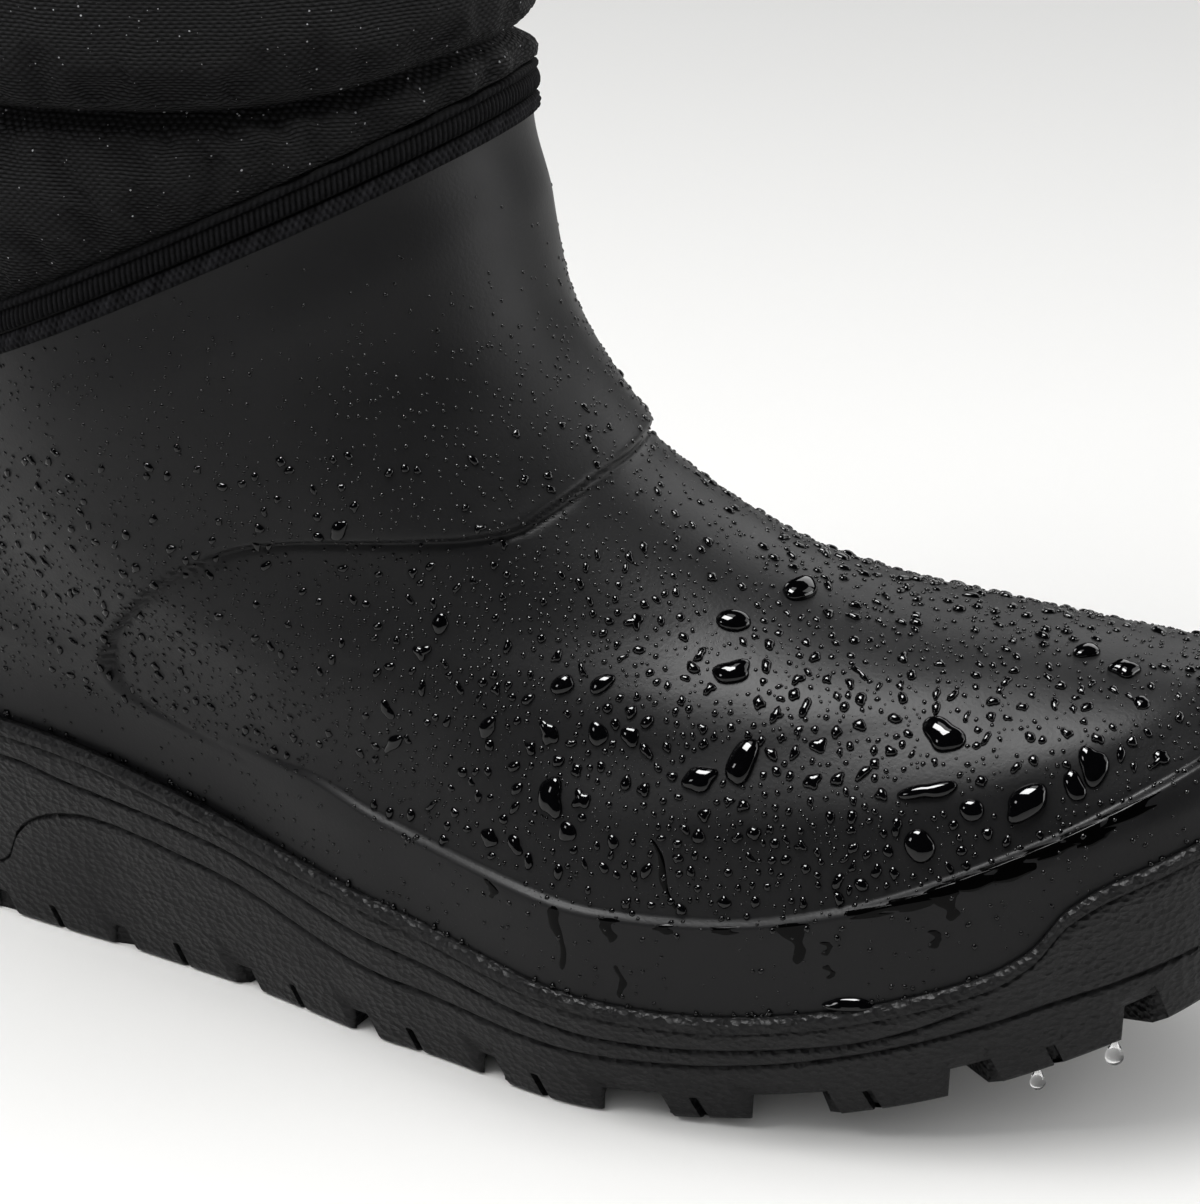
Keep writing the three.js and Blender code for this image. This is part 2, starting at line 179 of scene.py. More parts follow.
def bootNormal(angle, height):
    across = bootPoint(angle + 0.004, height) - bootPoint(angle - 0.004, height)
    upwards = bootPoint(angle, height + 0.4) - bootPoint(angle, height - 0.4)
    normal = np.cross(upwards, across)
    return normal / np.linalg.norm(normal, axis=-1, keepdims=True)


def bootOffset(angle, height, distance):
    return bootPoint(angle, height) + bootNormal(angle, height) * np.asarray(distance)[..., None]


def seamHeight(angle):
    return seam["back"] + (seam["front"] - seam["back"]) * (0.5 + 0.5 * np.cos(angle))


def lengthAlong(line):
    return np.concatenate([[0], np.cumsum(np.linalg.norm(np.diff(line, axis=0), axis=1))])


def evenAngles(count, height):
    # angles that lie evenly along the ring at one height, the first and last at the toe
    fine = np.linspace(0, 2 * math.pi, 4001)
    length = lengthAlong(bootPoint(fine, np.full(fine.shape, float(height))))
    return np.interp(np.linspace(0, length[-1], count), length, fine)


def seamAngles(count):
    fine = np.linspace(0, 2 * math.pi, 6001)
    length = lengthAlong(bootPoint(fine, seamHeight(fine)))
    return np.interp(np.linspace(0, length[-1], count), length, fine)


def evenHeights(angles, low, high, count):
    # for every angle, heights that lie evenly along the surface from low to high
    share = np.linspace(0, 1, 121)[:, None]
    heights = low + (high - low) * share
    points = bootPoint(np.broadcast_to(angles, heights.shape), heights)
    steps = np.linalg.norm(np.diff(points, axis=0), axis=-1)
    length = np.concatenate([np.zeros((1, len(angles))), np.cumsum(steps, axis=0)])
    result = np.empty((count, len(angles)))
    for k in range(len(angles)):
        wanted = np.linspace(0, length[-1, k], count)
        result[:, k] = np.interp(wanted, length[:, k], heights[:, k])
    return result


def linear(hexColor):
    parts = [int(hexColor[i:i + 2], 16) / 255 for i in (1, 3, 5)]
    return tuple(c / 12.92 if c <= 0.04045 else ((c + 0.055) / 1.055) ** 2.4 for c in parts) + (1.0,)


def addNode(material, kind, settings=None, links=None):
    # settings: property or input name to value; links: input name to an output socket
    node = material.node_tree.nodes.new(kind)
    for name, value in (settings or {}).items():
        if isinstance(name, int) or name in node.inputs:
            node.inputs[name].default_value = value
        else:
            setattr(node, name, value)
    for name, socket in (links or {}).items():
        material.node_tree.links.new(socket, node.inputs[name])
    return node


def newMaterial(name):
    material = bpy.data.materials.new(name)
    material.use_nodes = True
    material.node_tree.nodes.clear()
    return material


def finishMaterial(material, shader):
    output = addNode(material, "ShaderNodeOutputMaterial")
    material.node_tree.links.new(shader.outputs[0], output.inputs["Surface"])
    return material


def gridPiece(name, points, uv, material, closeAcross=True, fields=None):
    # points: rings by columns by 3 in millimetres; the last column repeats the first
    rings, columns = points.shape[:2]
    bpy.ops.object.select_all(action="DESELECT")
    bpy.ops.mesh.primitive_grid_add(x_subdivisions=columns - 1, y_subdivisions=rings - 1, size=1)
    piece = bpy.context.object
    piece.name = name
    piece.data.name = name
    mesh = piece.data
    mesh.vertices.foreach_set("co", (points * mm).astype(np.float32).ravel())
    loops = np.empty(len(mesh.loops), dtype=np.int32)
    mesh.loops.foreach_get("vertex_index", loops)
    flat = (uv * mm).reshape(-1, 2)
    mesh.uv_layers[0].name = "surface"
    mesh.uv_layers[0].data.foreach_set("uv", flat[loops].astype(np.float32).ravel())
    for field, values in (fields or {}).items():
        layer = mesh.attributes.new(field, "FLOAT", "POINT")
        layer.data.foreach_set("value", values.astype(np.float32).ravel())
    mesh.update()
    if closeAcross:
        bpy.ops.object.mode_set(mode="EDIT")
        bpy.ops.mesh.select_all(action="SELECT")
        bpy.ops.mesh.remove_doubles(threshold=0.000002)
        bpy.ops.object.mode_set(mode="OBJECT")
    pointOutwards(piece)
    bpy.ops.object.shade_smooth()
    mesh.materials.append(material)
    piece.select_set(False)
    return piece


def pointOutwards(piece):
    bpy.context.view_layer.objects.active = piece
    bpy.ops.object.mode_set(mode="EDIT")
    bpy.ops.mesh.select_all(action="SELECT")
    bpy.ops.mesh.normals_make_consistent(inside=False)
    bpy.ops.object.mode_set(mode="OBJECT")


def surfaceUv(points):
    # distances in millimetres round each ring and up each column
    across = np.linalg.norm(np.diff(points, axis=1), axis=-1)
    up = np.linalg.norm(np.diff(points, axis=0), axis=-1)
    u = np.concatenate([np.zeros((points.shape[0], 1)), np.cumsum(across, axis=1)], 1)
    v = np.concatenate([np.zeros((1, points.shape[1])), np.cumsum(up, axis=0)], 0)
    return np.stack([u, v], -1)


def onBody(piece, slot, *nodes):
    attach(piece, "root")
    if nodes:
        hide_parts(*nodes)


def makeShellRubber():
    # injection-moulded thermoplastic rubber: satin, with a fine grain
    material = newMaterial("moulded rubber, satin")
    place = addNode(material, "ShaderNodeTexCoord")
    grain = addNode(material, "ShaderNodeTexNoise", {"Scale": 1400, "Detail": 2},
                    {"Vector": place.outputs["Object"]})
    cloudy = addNode(material, "ShaderNodeTexNoise", {"Scale": 38, "Detail": 5, "Roughness": 0.6},
                     {"Vector": place.outputs["Object"]})
    rough = addNode(material, "ShaderNodeMapRange",
                    {"From Min": 0.3, "From Max": 0.7, "To Min": 0.4, "To Max": 0.5},
                    {"Value": cloudy.outputs["Fac"]})
    dust = addNode(material, "ShaderNodeMix",
                   {"data_type": "RGBA", 6: linear("#131314"), 7: linear("#1a1a1b")},
                   {0: cloudy.outputs["Fac"]})
    bump = addNode(material, "ShaderNodeBump", {"Strength": 0.5, "Distance": 0.00008},
                   {"Height": grain.outputs["Fac"]})
    shader = addNode(material, "ShaderNodeBsdfPrincipled",
                     {"IOR": 1.5, "Specular IOR Level": 0.17},
                     {"Base Color": dust.outputs[2], "Roughness": rough.outputs["Result"],
                      "Normal": bump.outputs["Normal"]})
    return finishMaterial(material, shader)


def makeSoleRubber():
    # moulded rubber with a wrinkled hide grain: folds about 2 mm apart with pits of 1.6 mm
    # between them, a little longer than high
    material = newMaterial("moulded rubber, hide grain")
    place = addNode(material, "ShaderNodeTexCoord")
    stretch = addNode(material, "ShaderNodeMapping", {"Scale": (1, 1, 1.3)},
                      {"Vector": place.outputs["Object"]})
    wrinkle = addNode(material, "ShaderNodeTexNoise", {"Scale": 430, "Detail": 3, "Distortion": 0.8},
                      {"Vector": stretch.outputs["Vector"]})
    pits = addNode(material, "ShaderNodeTexVoronoi", {"Scale": 620, "feature": "F1"},
                   {"Vector": stretch.outputs["Vector"]})
    both = addNode(material, "ShaderNodeMath", {"operation": "ADD"},
                   {0: wrinkle.outputs["Fac"], 1: pits.outputs["Distance"]})
    cloudy = addNode(material, "ShaderNodeTexNoise", {"Scale": 45, "Detail": 4},
                     {"Vector": place.outputs["Object"]})
    color = addNode(material, "ShaderNodeMix",
                    {"data_type": "RGBA", 6: linear("#0f0f10"), 7: linear("#19191a")},
                    {0: cloudy.outputs["Fac"]})
    rough = addNode(material, "ShaderNodeMapRange",
                    {"From Min": 0.3, "From Max": 0.7, "To Min": 0.4, "To Max": 0.56},
                    {"Value": cloudy.outputs["Fac"]})
    bump = addNode(material, "ShaderNodeBump", {"Strength": 0.8, "Distance": 0.0006},
                   {"Height": both.outputs[0]})
    shader = addNode(material, "ShaderNodeBsdfPrincipled", {"IOR": 1.5, "Specular IOR Level": 0.21},
                     {"Base Color": color.outputs[2], "Roughness": rough.outputs["Result"],
                      "Normal": bump.outputs["Normal"]})
    return finishMaterial(material, shader)


def makeCanvas():
    # plain-woven polyester canvas: matt threads in even rows, each crossing a small pillow,
    # drawn a little coarser than real ones so that they show; the colour is painted shade and light from
    # the weave's height, dark in the gaps between threads and lighter on the crossings, with a random
    # mottle over it
    material = newMaterial("polyester canvas, plain weave")
    place = addNode(material, "ShaderNodeUVMap", {"uv_map": "surface"})
    wobble = addNode(material, "ShaderNodeTexNoise", {"Scale": 120, "Detail": 2},
                     {"Vector": place.outputs["UV"]})
    moved = addNode(material, "ShaderNodeMix",
                    {"data_type": "VECTOR", "factor_mode": "UNIFORM", 0: 0.0011},
                    {4: place.outputs["UV"], 5: wobble.outputs["Color"]})
    parts = addNode(material, "ShaderNodeSeparateXYZ", {}, {"Vector": moved.outputs[1]})
    waves = []
    for axis, spacing in (("X", 0.00082), ("Y", 0.00068)):  # threads, in metres
        turn = addNode(material, "ShaderNodeMath", {"operation": "MULTIPLY", 1: math.pi / spacing},
                       {0: parts.outputs[axis]})
        waves.append(addNode(material, "ShaderNodeMath", {"operation": "SINE"}, {0: turn.outputs[0]}))
    alongWarp, alongWeft = waves
    crossing = addNode(material, "ShaderNodeMath", {"operation": "MULTIPLY"},
                       {0: alongWarp.outputs[0], 1: alongWeft.outputs[0]})
    weftRow = addNode(material, "ShaderNodeMath", {"operation": "ABSOLUTE"},
                      {0: alongWeft.outputs[0]})
    pillow = addNode(material, "ShaderNodeMath", {"operation": "MULTIPLY_ADD", 1: 0.45},
                     {0: crossing.outputs[0], 2: weftRow.outputs[0]})
    fuzz = addNode(material, "ShaderNodeTexNoise", {"Scale": 2600, "Detail": 2},
                   {"Vector": place.outputs["UV"]})
    height = addNode(material, "ShaderNodeMath", {"operation": "MULTIPLY_ADD", 1: 0.5},
                     {0: fuzz.outputs["Fac"], 2: pillow.outputs[0]})
    bump = addNode(material, "ShaderNodeBump", {"Strength": 1.0, "Distance": 0.0003},
                   {"Height": height.outputs[0]})
    worn = addNode(material, "ShaderNodeTexNoise", {"Scale": 30, "Detail": 4},
                   {"Vector": place.outputs["UV"]})
    # painted shade and light: darker in the gaps between threads, lighter on the crossings, from the
    # weave's height
    shade = addNode(material, "ShaderNodeMapRange",
                    {"From Min": 0.45, "From Max": 1.4, "To Min": 0.0, "To Max": 1.0},
                    {"Value": pillow.outputs[0]})
    color = addNode(material, "ShaderNodeMix",
                    {"data_type": "RGBA", 6: linear("#000000"), 7: linear("#232325")},
                    {0: shade.outputs["Result"]})
    tone = addNode(material, "ShaderNodeMix",
                   {"data_type": "RGBA", "blend_type": "MULTIPLY", 7: linear("#b9b9bd")},
                   {0: worn.outputs["Fac"], 6: color.outputs[2]})
    shader = addNode(material, "ShaderNodeBsdfPrincipled",
                     {"Roughness": 0.82, "Specular IOR Level": 0.14, "Sheen Weight": 0.02,
                      "Sheen Roughness": 0.4},
                     {"Base Color": tone.outputs[2], "Normal": bump.outputs["Normal"]})
    return finishMaterial(material, shader)


def makeTapeCloth(name, dark, light, scale):
    # spun polyester tape: dull, the yarn just showing on the ribs; its colour is painted light and
    # shade, lighter on the thread crests and darker in the furrows and at the turned edges, read from a
    # field on the mesh
    material = newMaterial(name)
    place = addNode(material, "ShaderNodeTexCoord")
    yarn = addNode(material, "ShaderNodeTexNoise", {"Scale": scale, "Detail": 3},
                   {"Vector": place.outputs["Object"]})
    # painted light: this field lightens the thread crests and darkens the furrows and edges
    paintedThreadLight = addNode(material, "ShaderNodeAttribute", {"attribute_name": "paintedThreadLight"})
    shade = addNode(material, "ShaderNodeMath", {"operation": "MULTIPLY"},
                    {0: yarn.outputs["Fac"], 1: paintedThreadLight.outputs["Fac"]})
    lit = addNode(material, "ShaderNodeMapRange",
                  {"From Min": 0.05, "From Max": 0.62, "To Min": 0.0, "To Max": 1.0},
                  {"Value": shade.outputs[0]})
    color = addNode(material, "ShaderNodeMix",
                    {"data_type": "RGBA", 6: linear(dark), 7: linear(light)},
                    {0: lit.outputs["Result"]})
    bump = addNode(material, "ShaderNodeBump", {"Strength": 0.8, "Distance": 0.0002},
                   {"Height": yarn.outputs["Fac"]})
    shader = addNode(material, "ShaderNodeBsdfPrincipled",
                     {"Roughness": 0.88, "Specular IOR Level": 0.09, "Sheen Weight": 0.005},
                     {"Base Color": color.outputs[2], "Normal": bump.outputs["Normal"]})
    return finishMaterial(material, shader)


def makeFleece():
    # polyester fleece: curled pile in tufts of 2 to 3 mm, soft bright edge from the fibres
    material = newMaterial("polyester fleece")
    place = addNode(material, "ShaderNodeTexCoord")
    tufts = addNode(material, "ShaderNodeTexVoronoi", {"Scale": 420, "feature": "SMOOTH_F1"},
                    {"Vector": place.outputs["Object"]})
    pile = addNode(material, "ShaderNodeTexNoise", {"Scale": 900, "Detail": 4},
                   {"Vector": place.outputs["Object"]})
    both = addNode(material, "ShaderNodeMath", {"operation": "ADD"},
                   {0: tufts.outputs["Distance"], 1: pile.outputs["Fac"]})
    color = addNode(material, "ShaderNodeMix",
                    {"data_type": "RGBA", 6: linear("#161617"), 7: linear("#343436")},
                    {0: pile.outputs["Fac"]})
    bump = addNode(material, "ShaderNodeBump", {"Strength": 1.0, "Distance": 0.0007},
                   {"Height": both.outputs[0]})
    shader = addNode(material, "ShaderNodeBsdfPrincipled",
                     {"Roughness": 0.95, "Sheen Weight": 0.25, "Sheen Roughness": 0.5},
                     {"Base Color": color.outputs[2], "Normal": bump.outputs["Normal"]})
    return finishMaterial(material, shader)


def makePlain(name, color, roughness, settings):
    # one colour all over, with no pattern
    material = newMaterial(name)
    shader = addNode(material, "ShaderNodeBsdfPrincipled",
                     {"Base Color": linear(color), "Roughness": roughness, **settings})
    return finishMaterial(material, shader)


shellRubber = makeShellRubber()
soleRubber = makeSoleRubber()
canvas = makeCanvas()
tapeCloth = makeTapeCloth("grosgrain tape", "#000001", "#19191b", 1500)
knitCloth = makeTapeCloth("knitted edge tape", "#020203", "#27272a", 1100)
fleece = makeFleece()
# beads on black rubber look like drops of black glass with one window of light
beadWater = makePlain("water bead", "#050506", 0.02, {"IOR": 1.333, "Specular IOR Level": 0.62})
# the finest drops, held up by the fibres, are painted pale grey: a painted glint, colour standing in for
# the bright specks of light on tiny drops
dewPaintedGlints = makePlain("fine dew, painted pale glints", "#9c9c9f", 0.1, {"IOR": 1.333, "Specular IOR Level": 0.6})
# hanging drops are clear and mirror-smooth
clearWater = makePlain("clear water", "#ffffff", 0.0, {"IOR": 1.333, "Transmission Weight": 1.0})
# a flat run is smoother and darker than the rubber under it, with no grain
filmWater = makePlain("water film", "#030303", 0.06, {"IOR": 1.333, "Specular IOR Level": 0.16})
print("materials made")


# camera, floor and light; places in millimetres

view = {"place": (253.67, -573.53, 354.18), "target": (14.29, -1.69, 83.93), "roll": -0.5575,
        "focal": 104.43, "sensor": 36}

studio = {
    "floor": "#f7f6f4", "room": "#f8f9fa", "roomStrength": 0.6,
    # name, place, aim, width, depth, watts, reach: "gloss" shows in reflections only, and
    # "floor" is matt light only, most of it on the floor
    "boxes": (("overhead box", (70, 0, 900), (40, 0, 60), 440, 300, 1.6, "all"),
              ("overhead sheen box", (-20, -170, 900), (40, -20, 60), 470, 320, 17, "gloss"),
              ("side window", (-330, -660, 520), (20, -20, 70), 170, 170, 1.1, "gloss"),
              ("far right box", (900, 450, 520), (30, 0, 60), 500, 600, 2.4, "all"),
              ("back sheen box", (250, 950, 620), (40, 0, 80), 1000, 520, 5, "gloss"),
              ("back left box", (-760, 620, 480), (-20, 0, 110), 420, 420, 2.0, "gloss"),
              ("right card", (850, 240, 130), (60, -20, 120), 420, 320, 2.2, "gloss"),
              ("front floor box", (-480, -300, 780), (-20, -120, 0), 560, 400, 5.2, "floor")),
}


def aimAt(place, target):
    return (Vector(target) - Vector(place)).to_track_quat("-Z", "Y")


def makeCamera():
    camera = bpy.data.objects.new("camera", bpy.data.cameras.new("camera"))
    bpy.context.collection.objects.link(camera)
    camera.location = Vector(view["place"]) * mm
    turn = aimAt(view["place"], view["target"]).to_matrix().to_4x4()
    camera.rotation_euler = (turn @ Matrix.Rotation(math.radians(view["roll"]), 4, "Z")).to_euler()
    camera.data.lens = view["focal"]
    camera.data.sensor_width = view["sensor"]
    camera.data.clip_start = 0.01
    camera.data.clip_end = 20
    bpy.context.scene.camera = camera


def makeFloor():
    bpy.ops.mesh.primitive_plane_add(size=8, location=(0, 0, 0))
    floor = bpy.context.object
    floor.name = "floor"
    # matt painted board
    floor.data.materials.append(makePlain("white studio floor", studio["floor"], 0.95,
                                          {"Specular IOR Level": 0.0}))
    floor.select_set(False)


def makeStudio():
    world = bpy.data.worlds.new("studio")
    bpy.context.scene.world = world
    world.use_nodes = True
    background = world.node_tree.nodes["Background"]
    background.inputs["Color"].default_value = linear(studio["room"])
    background.inputs["Strength"].default_value = studio["roomStrength"]
    # the room lights the boot but stays dark in its reflections, so only the boxes show in water
    world.cycles_visibility.glossy = False
    for name, place, target, width, depth, power, reach in studio["boxes"]:
        lamp = bpy.data.lights.new(name, "AREA")
        lamp.shape = "RECTANGLE"
        lamp.size = width * mm
        lamp.size_y = depth * mm
        lamp.energy = power
        holder = bpy.data.objects.new(name, lamp)
        bpy.context.collection.objects.link(holder)
        holder.location = Vector(place) * mm
        holder.rotation_euler = aimAt(place, target).to_euler()
        holder.visible_glossy = reach != "floor"
        holder.visible_diffuse = reach != "gloss"


bpy.context.scene.view_settings.view_transform = "Standard"
makeCamera()
makeFloor()
makeStudio()
print("camera and light set")


# the sole: one moulded cup with lugs, side grooves and a rolled lip

tread = {
    "bevel": 1.2, "top": 10, "slant": 0.42, "slitDepth": 2.2, "slitWidth": 1.5, "slitTop": 5.5,
    "levels": (0, 0.5, 1.2, 2.4, 3.6, 4.6, 5.4, 5.6, 6.6, 8),
    # along the boot, width at the floor's edge, height of the gap's ceiling
    "gaps": ((-116, 6, 4.6), (-85, 6, 4.6), (-53, 6.5, 4.6), (-23, 7, 4.8), (7.5, 7, 5),
             (38, 14, 5), (68, 17, 5.4), (100, 10, 6), (128, 9, 7.4)),
    "slits": (-101, -69, -39, -10, 19.5, 51, 83, 114),
    "toeGap": (8, 6.5), "heelGap": (8, 4.6),
    "border": (17, 21.5, 4.8), "channels": (-103, -72, 24, 52, 82, 108), "channelWidth": 5,
    "arch": (-52, 4), "channelDepth": 4.5,
}

groove = {
    "width": 0.42, "depth": 0.75, "near": (-1.3, -0.8, -0.5, -0.25, 0, 0.25, 0.5, 0.8, 1.3),
    "upperX": (-150, -105, -92, -58.5, -10.6, 52.6, 80, 104, 112, 150),
    "upper": (41.5, 40.5, 38.2, 34.5, 23.8, 17.2, 17.1, 20.4, 23.2, 25),
    "lowerX": (-150, -115, -111, -107.5, -103, -95, -87, -59, -11, 52.7, 114, 126.6, 138, 150),
    "lower": (12.6, 12.8, 15, 21.6, 26, 29.6, 30.9, 27.7, 16.4, 13.3, 15.3, 14.4, 13.7, 13.4),
}


def soleColumns(count):
    # angles from toe to heel on the outer side, with close pairs at the edges of gaps and slits
    fine = np.linspace(0, math.pi, 4001)
    edge = insetPlan(fine, np.full(fine.shape, sole["draft"]))
    arc = lengthAlong(edge)
    marks = []
    cuts = [(arc[0], tread["toeGap"][0] / 2, tread["toeGap"][1], "gap"),
            (arc[-1], tread["heelGap"][0] / 2, tread["heelGap"][1], "gap")]
    for x, width, ceiling in tread["gaps"]:
        cuts.append((np.interp(-x, -edge[:, 0], arc), width / 2, ceiling, "gap"))
    for x in tread["slits"]:
        cuts.append((np.interp(-x, -edge[:, 0], arc), tread["slitWidth"] / 2, 0, "slit"))
    for middle, half, ceiling, kind in cuts:
        for side in (-1, 1):
            for step in (-0.12, 0.12):
                marks.append(middle + side * (half + step))
    marks = [m for m in marks if 0.3 < m < arc[-1] - 0.3]
    even = np.linspace(0, arc[-1], count)
    far = np.min(np.abs(even[:, None] - np.array(marks)[None, :]), axis=1) > 0.5
    far[[0, -1]] = True
    places = np.sort(np.concatenate([even[far], marks]))
    ceilings = np.zeros(places.shape)
    slits = np.zeros(places.shape)
    for middle, half, ceiling, kind in cuts:
        inside = np.abs(places - middle) < half
        if kind == "gap":
            ceilings = np.where(inside, ceiling, ceilings)
        else:
            slits = np.where(inside, 1.0, slits)
    return fine, arc, places, ceilings, slits


def mirrored(values):
    return np.concatenate([values, values[..., -2::-1]], -1)


def makeSole():
    fine, arc, places, ceilings, slits = soleColumns(250)

    def anglesAt(slant):
        half = np.interp(places - slant * np.clip(3 * np.sin(np.interp(places, arc, fine)), 0, 1),
                         arc, fine)
        half[0], half[-1] = 0, math.pi
        return np.concatenate([half, 2 * math.pi - half[-2::-1]])

    ceiling, slit = mirrored(ceilings), mirrored(slits)
    base = anglesAt(0)
    baseX = solePlan(base)[:, 0]
    lip = lipHeight(baseX)
    upperLine = cubic(groove["upperX"], groove["upper"], baseX)
    lowerLine = cubic(groove["lowerX"], groove["lower"], baseX)
    near = groove["near"]
    levels = [np.full(lip.shape, v) for v in tread["levels"]]

    def addSpan(low, high, parts):
        for k in range(1, parts):
            levels.append(low + (high - low) * k / parts)

    addSpan(levels[-1], lowerLine + near[0], 3)
    levels.extend(lowerLine + v for v in near)
    addSpan(lowerLine + near[-1], upperLine + near[0], 4)
    levels.extend(upperLine + v for v in near)
    addSpan(upperLine + near[-1], lip - sole["underLip"][0], 3)
    levels.extend(lip - v for v in sole["underLip"])
    rings = []
    slope = tread["slant"]
    hooked = smooth((baseX + 119) / 5)
    blended = 1 - smooth((baseX - 99) / 8)
    for level in levels:
        angles = anglesAt(slope * (tread["slitTop"] - np.minimum(level.mean(), tread["top"]))
                          if level.mean() < tread["top"] else
                          slope * (tread["slitTop"] - tread["top"])
                          * max(0, 1 - (level.mean() - tread["top"]) / 12))
        inset = sole["draft"] * (1 - level / lip)
        inset = inset + tread["bevel"] * (1 - np.sqrt(np.clip(1 - (1 - level / 1.2) ** 2, 0, 1))) \
            * (level < 1.2)
        inset = inset + slit * tread["slitDepth"] * (level < tread["slitTop"])
        inset = inset + groove["depth"] * hooked * np.exp(-((level - lowerLine) / groove["width"]) ** 2)
        inset = inset + groove["depth"] * blended * np.exp(-((level - upperLine) / groove["width"]) ** 2)
        down = lip - level
        inset = inset + 0.45 * np.exp(-((down - 3.4) / 0.4) ** 2)
        inset = np.where(down < 3.1, 0.1 + 0.95 * smooth(1 - down / 1.5) ** 2, inset)
        height = np.where(level < tread["top"],
                          ceiling + level * (1 - ceiling / tread["top"]), level)
        plan = insetPlan(angles, inset)
        rings.append(np.column_stack([plan, height + toeLift(plan[:, 0])]))
    # into the cup: over the lip, down its wall and across the bed
    bed = bedHeight(baseX)
    for inset, height in ((1.6, lip + 0.05), (sole["lipWidth"] - 0.3, lip - 0.4),
                          (sole["lipWidth"] - 0.3 + sole["draft"] * (1 - (bed + 1) / lip), bed + 1),
                          (sole["lipWidth"] + 0.7 + sole["draft"] * (1 - bed / lip), bed)):
        plan = insetPlan(base, np.broadcast_to(inset, base.shape))
        rings.append(np.column_stack([plan, height + toeLift(plan[:, 0])]))
    centre = soleCentre(base)
    for share in (0.66, 0.33, 0):
        plan = insetPlan(base, sole["lipWidth"] + 0.7 + sole["draft"] * (1 - bed / lip))
        x = plan[:, 0] * (1 - 0.02 * (1 - share))
        y = centre + (plan[:, 1] - centre) * share
        rings.append(np.column_stack([x, y, bedHeight(x) + toeLift(x)]))
    # the underside, from the floor edge to the middle line
    outer, inner, borderDepth = tread["border"]
    under = []
    low = anglesAt(slope * tread["slitTop"])
    for shrink, share in ((1.9, 1), (3.4, 1), (8, 1), (12.5, 1), (outer - 0.15, 1), (outer + 0.15, 1),
                          (inner - 0.15, 1), (inner + 0.15, 1), (inner + 0.4, 0.82),
                          (inner + 0.4, 0.64), (inner + 0.4, 0.46), (inner + 0.4, 0.3),
                          (inner + 0.4, 0.15), (inner + 0.4, 0)):
        plan = solePlan(low, sole["draft"] + np.maximum(shrink, slit * 3.5))
        x = plan[:, 0]
        middle = soleCentre(low)
        y = middle + (plan[:, 1] - middle) * share
        depth = ceiling * (shrink < outer)
        if outer < shrink < inner:
            depth = np.full(x.shape, borderDepth)
        if shrink > inner:
            cut = np.zeros(x.shape)
            for at in tread["channels"]:
                cut = np.maximum(cut, 1 - smooth((np.abs(x - at) - tread["channelWidth"] / 2) / 0.8))
            halfArch = (tread["arch"][1] - tread["arch"][0]) / 2
            off = np.abs(x - tread["arch"][0] - halfArch) - halfArch
            cut = np.maximum(cut, 1 - smooth(off / 0.8))
            depth = tread["channelDepth"] * cut
        under.append(np.column_stack([x, y, depth + toeLift(x)]))
    points = np.array(under[::-1] + rings)
    piece = gridPiece("cup_sole", points, surfaceUv(points), soleRubber)
    bpy.context.view_layer.objects.active = piece
    piece.select_set(True)
    bpy.ops.object.shade_smooth_by_angle(angle=math.radians(64))
    piece.select_set(False)
    onBody(piece, "sole", "sole")


makeSole()
print("sole made")


# the shell: one moulding with a raised collar and a rand round the foot

shell = {
    "columns": 470, "wall": 2.6,
    "rand": {"step": 1.5, "width": 1.7, "from": -62, "to": -8,
             "x": (-150, -30, -13, 8, 34, 60, 80, 98, 113, 130, 150),
             "line": (62, 57.7, 52.8, 48.6, 45.2, 44.4, 45.3, 47.3, 49.1, 51.1, 52)},
    # edge of the raised collar seen from the side: x and height over the floor
    "panel": ((27, 118), (19.5, 115.5), (14, 111.6), (8.5, 108), (-14, 107.4), (-36, 106.3),
              (-48, 101.5), (-62, 90), (-74, 77), (-77.5, 68), (-72.5, 61.5), (-60, 58), (-48, 56)),
    "step": 1.9, "width": 1.3, "fade": (52, 72), "groove": 0.6, "underSeam": 16,
    "crispFrom": 102, "crispTo": 121,  # rows of the mesh lie close between these heights
}


def roundedLine(corners, rounds):
    line = np.array(corners, dtype=float)
    for k in range(rounds):
        near = line[:-1] * 0.75 + line[1:] * 0.25
        far = line[:-1] * 0.25 + line[1:] * 0.75
        line = np.concatenate([line[:1], np.stack([near, far], 1).reshape(-1, 2), line[-1:]])
    return line


def lineDistance(line, x, z):
    # signed distance to an open line, positive on its right as it is walked
    best = np.full(x.shape, 1e9)
    signed = np.zeros(x.shape)
    for (ax, az), (bx, bz) in zip(line[:-1], line[1:]):
        dx, dz = bx - ax, bz - az
        share = np.clip(((x - ax) * dx + (z - az) * dz) / (dx * dx + dz * dz), 0, 1)
        fromX, fromZ = x - ax - share * dx, z - az - share * dz
        distance = np.hypot(fromX, fromZ)
        side = np.sign(dz * (x - ax) - dx * (z - az))
        signed = np.where(distance < best, side * distance, signed)
        best = np.minimum(distance, best)
    return signed


def randHeight(x):
    return cubic(shell["rand"]["x"], shell["rand"]["line"], x)


panelLine = roundedLine(shell["panel"], 3)


def shellRelief(points, heights, angles):
    # how far the moulded surface stands off the last: the rand below, the collar above
    x, z = points[..., 0], points[..., 2]
    rand = shell["rand"]
    over = heights - randHeight(x)
    fade = smooth((x - rand["from"]) / (rand["to"] - rand["from"]))
    relief = rand["step"] * fade * (1 - smooth(over / rand["width"] + 0.5))
    distance = lineDistance(panelLine, x, z)
    low, high = shell["fade"]
    collar = smooth(distance / shell["width"] + 0.5)
    collar = np.where(z > panelLine[0, 1], 1.0, collar)
    groove = shell["groove"] * np.exp(-((distance + 0.4) / 1.0) ** 2) * (z < panelLine[0, 1] + 2)
    under = smooth((seamHeight(angles) - heights - 1) / shell["underSeam"])
    return relief + smooth((z - low) / (high - low)) * (shell["step"] * collar * under - groove)


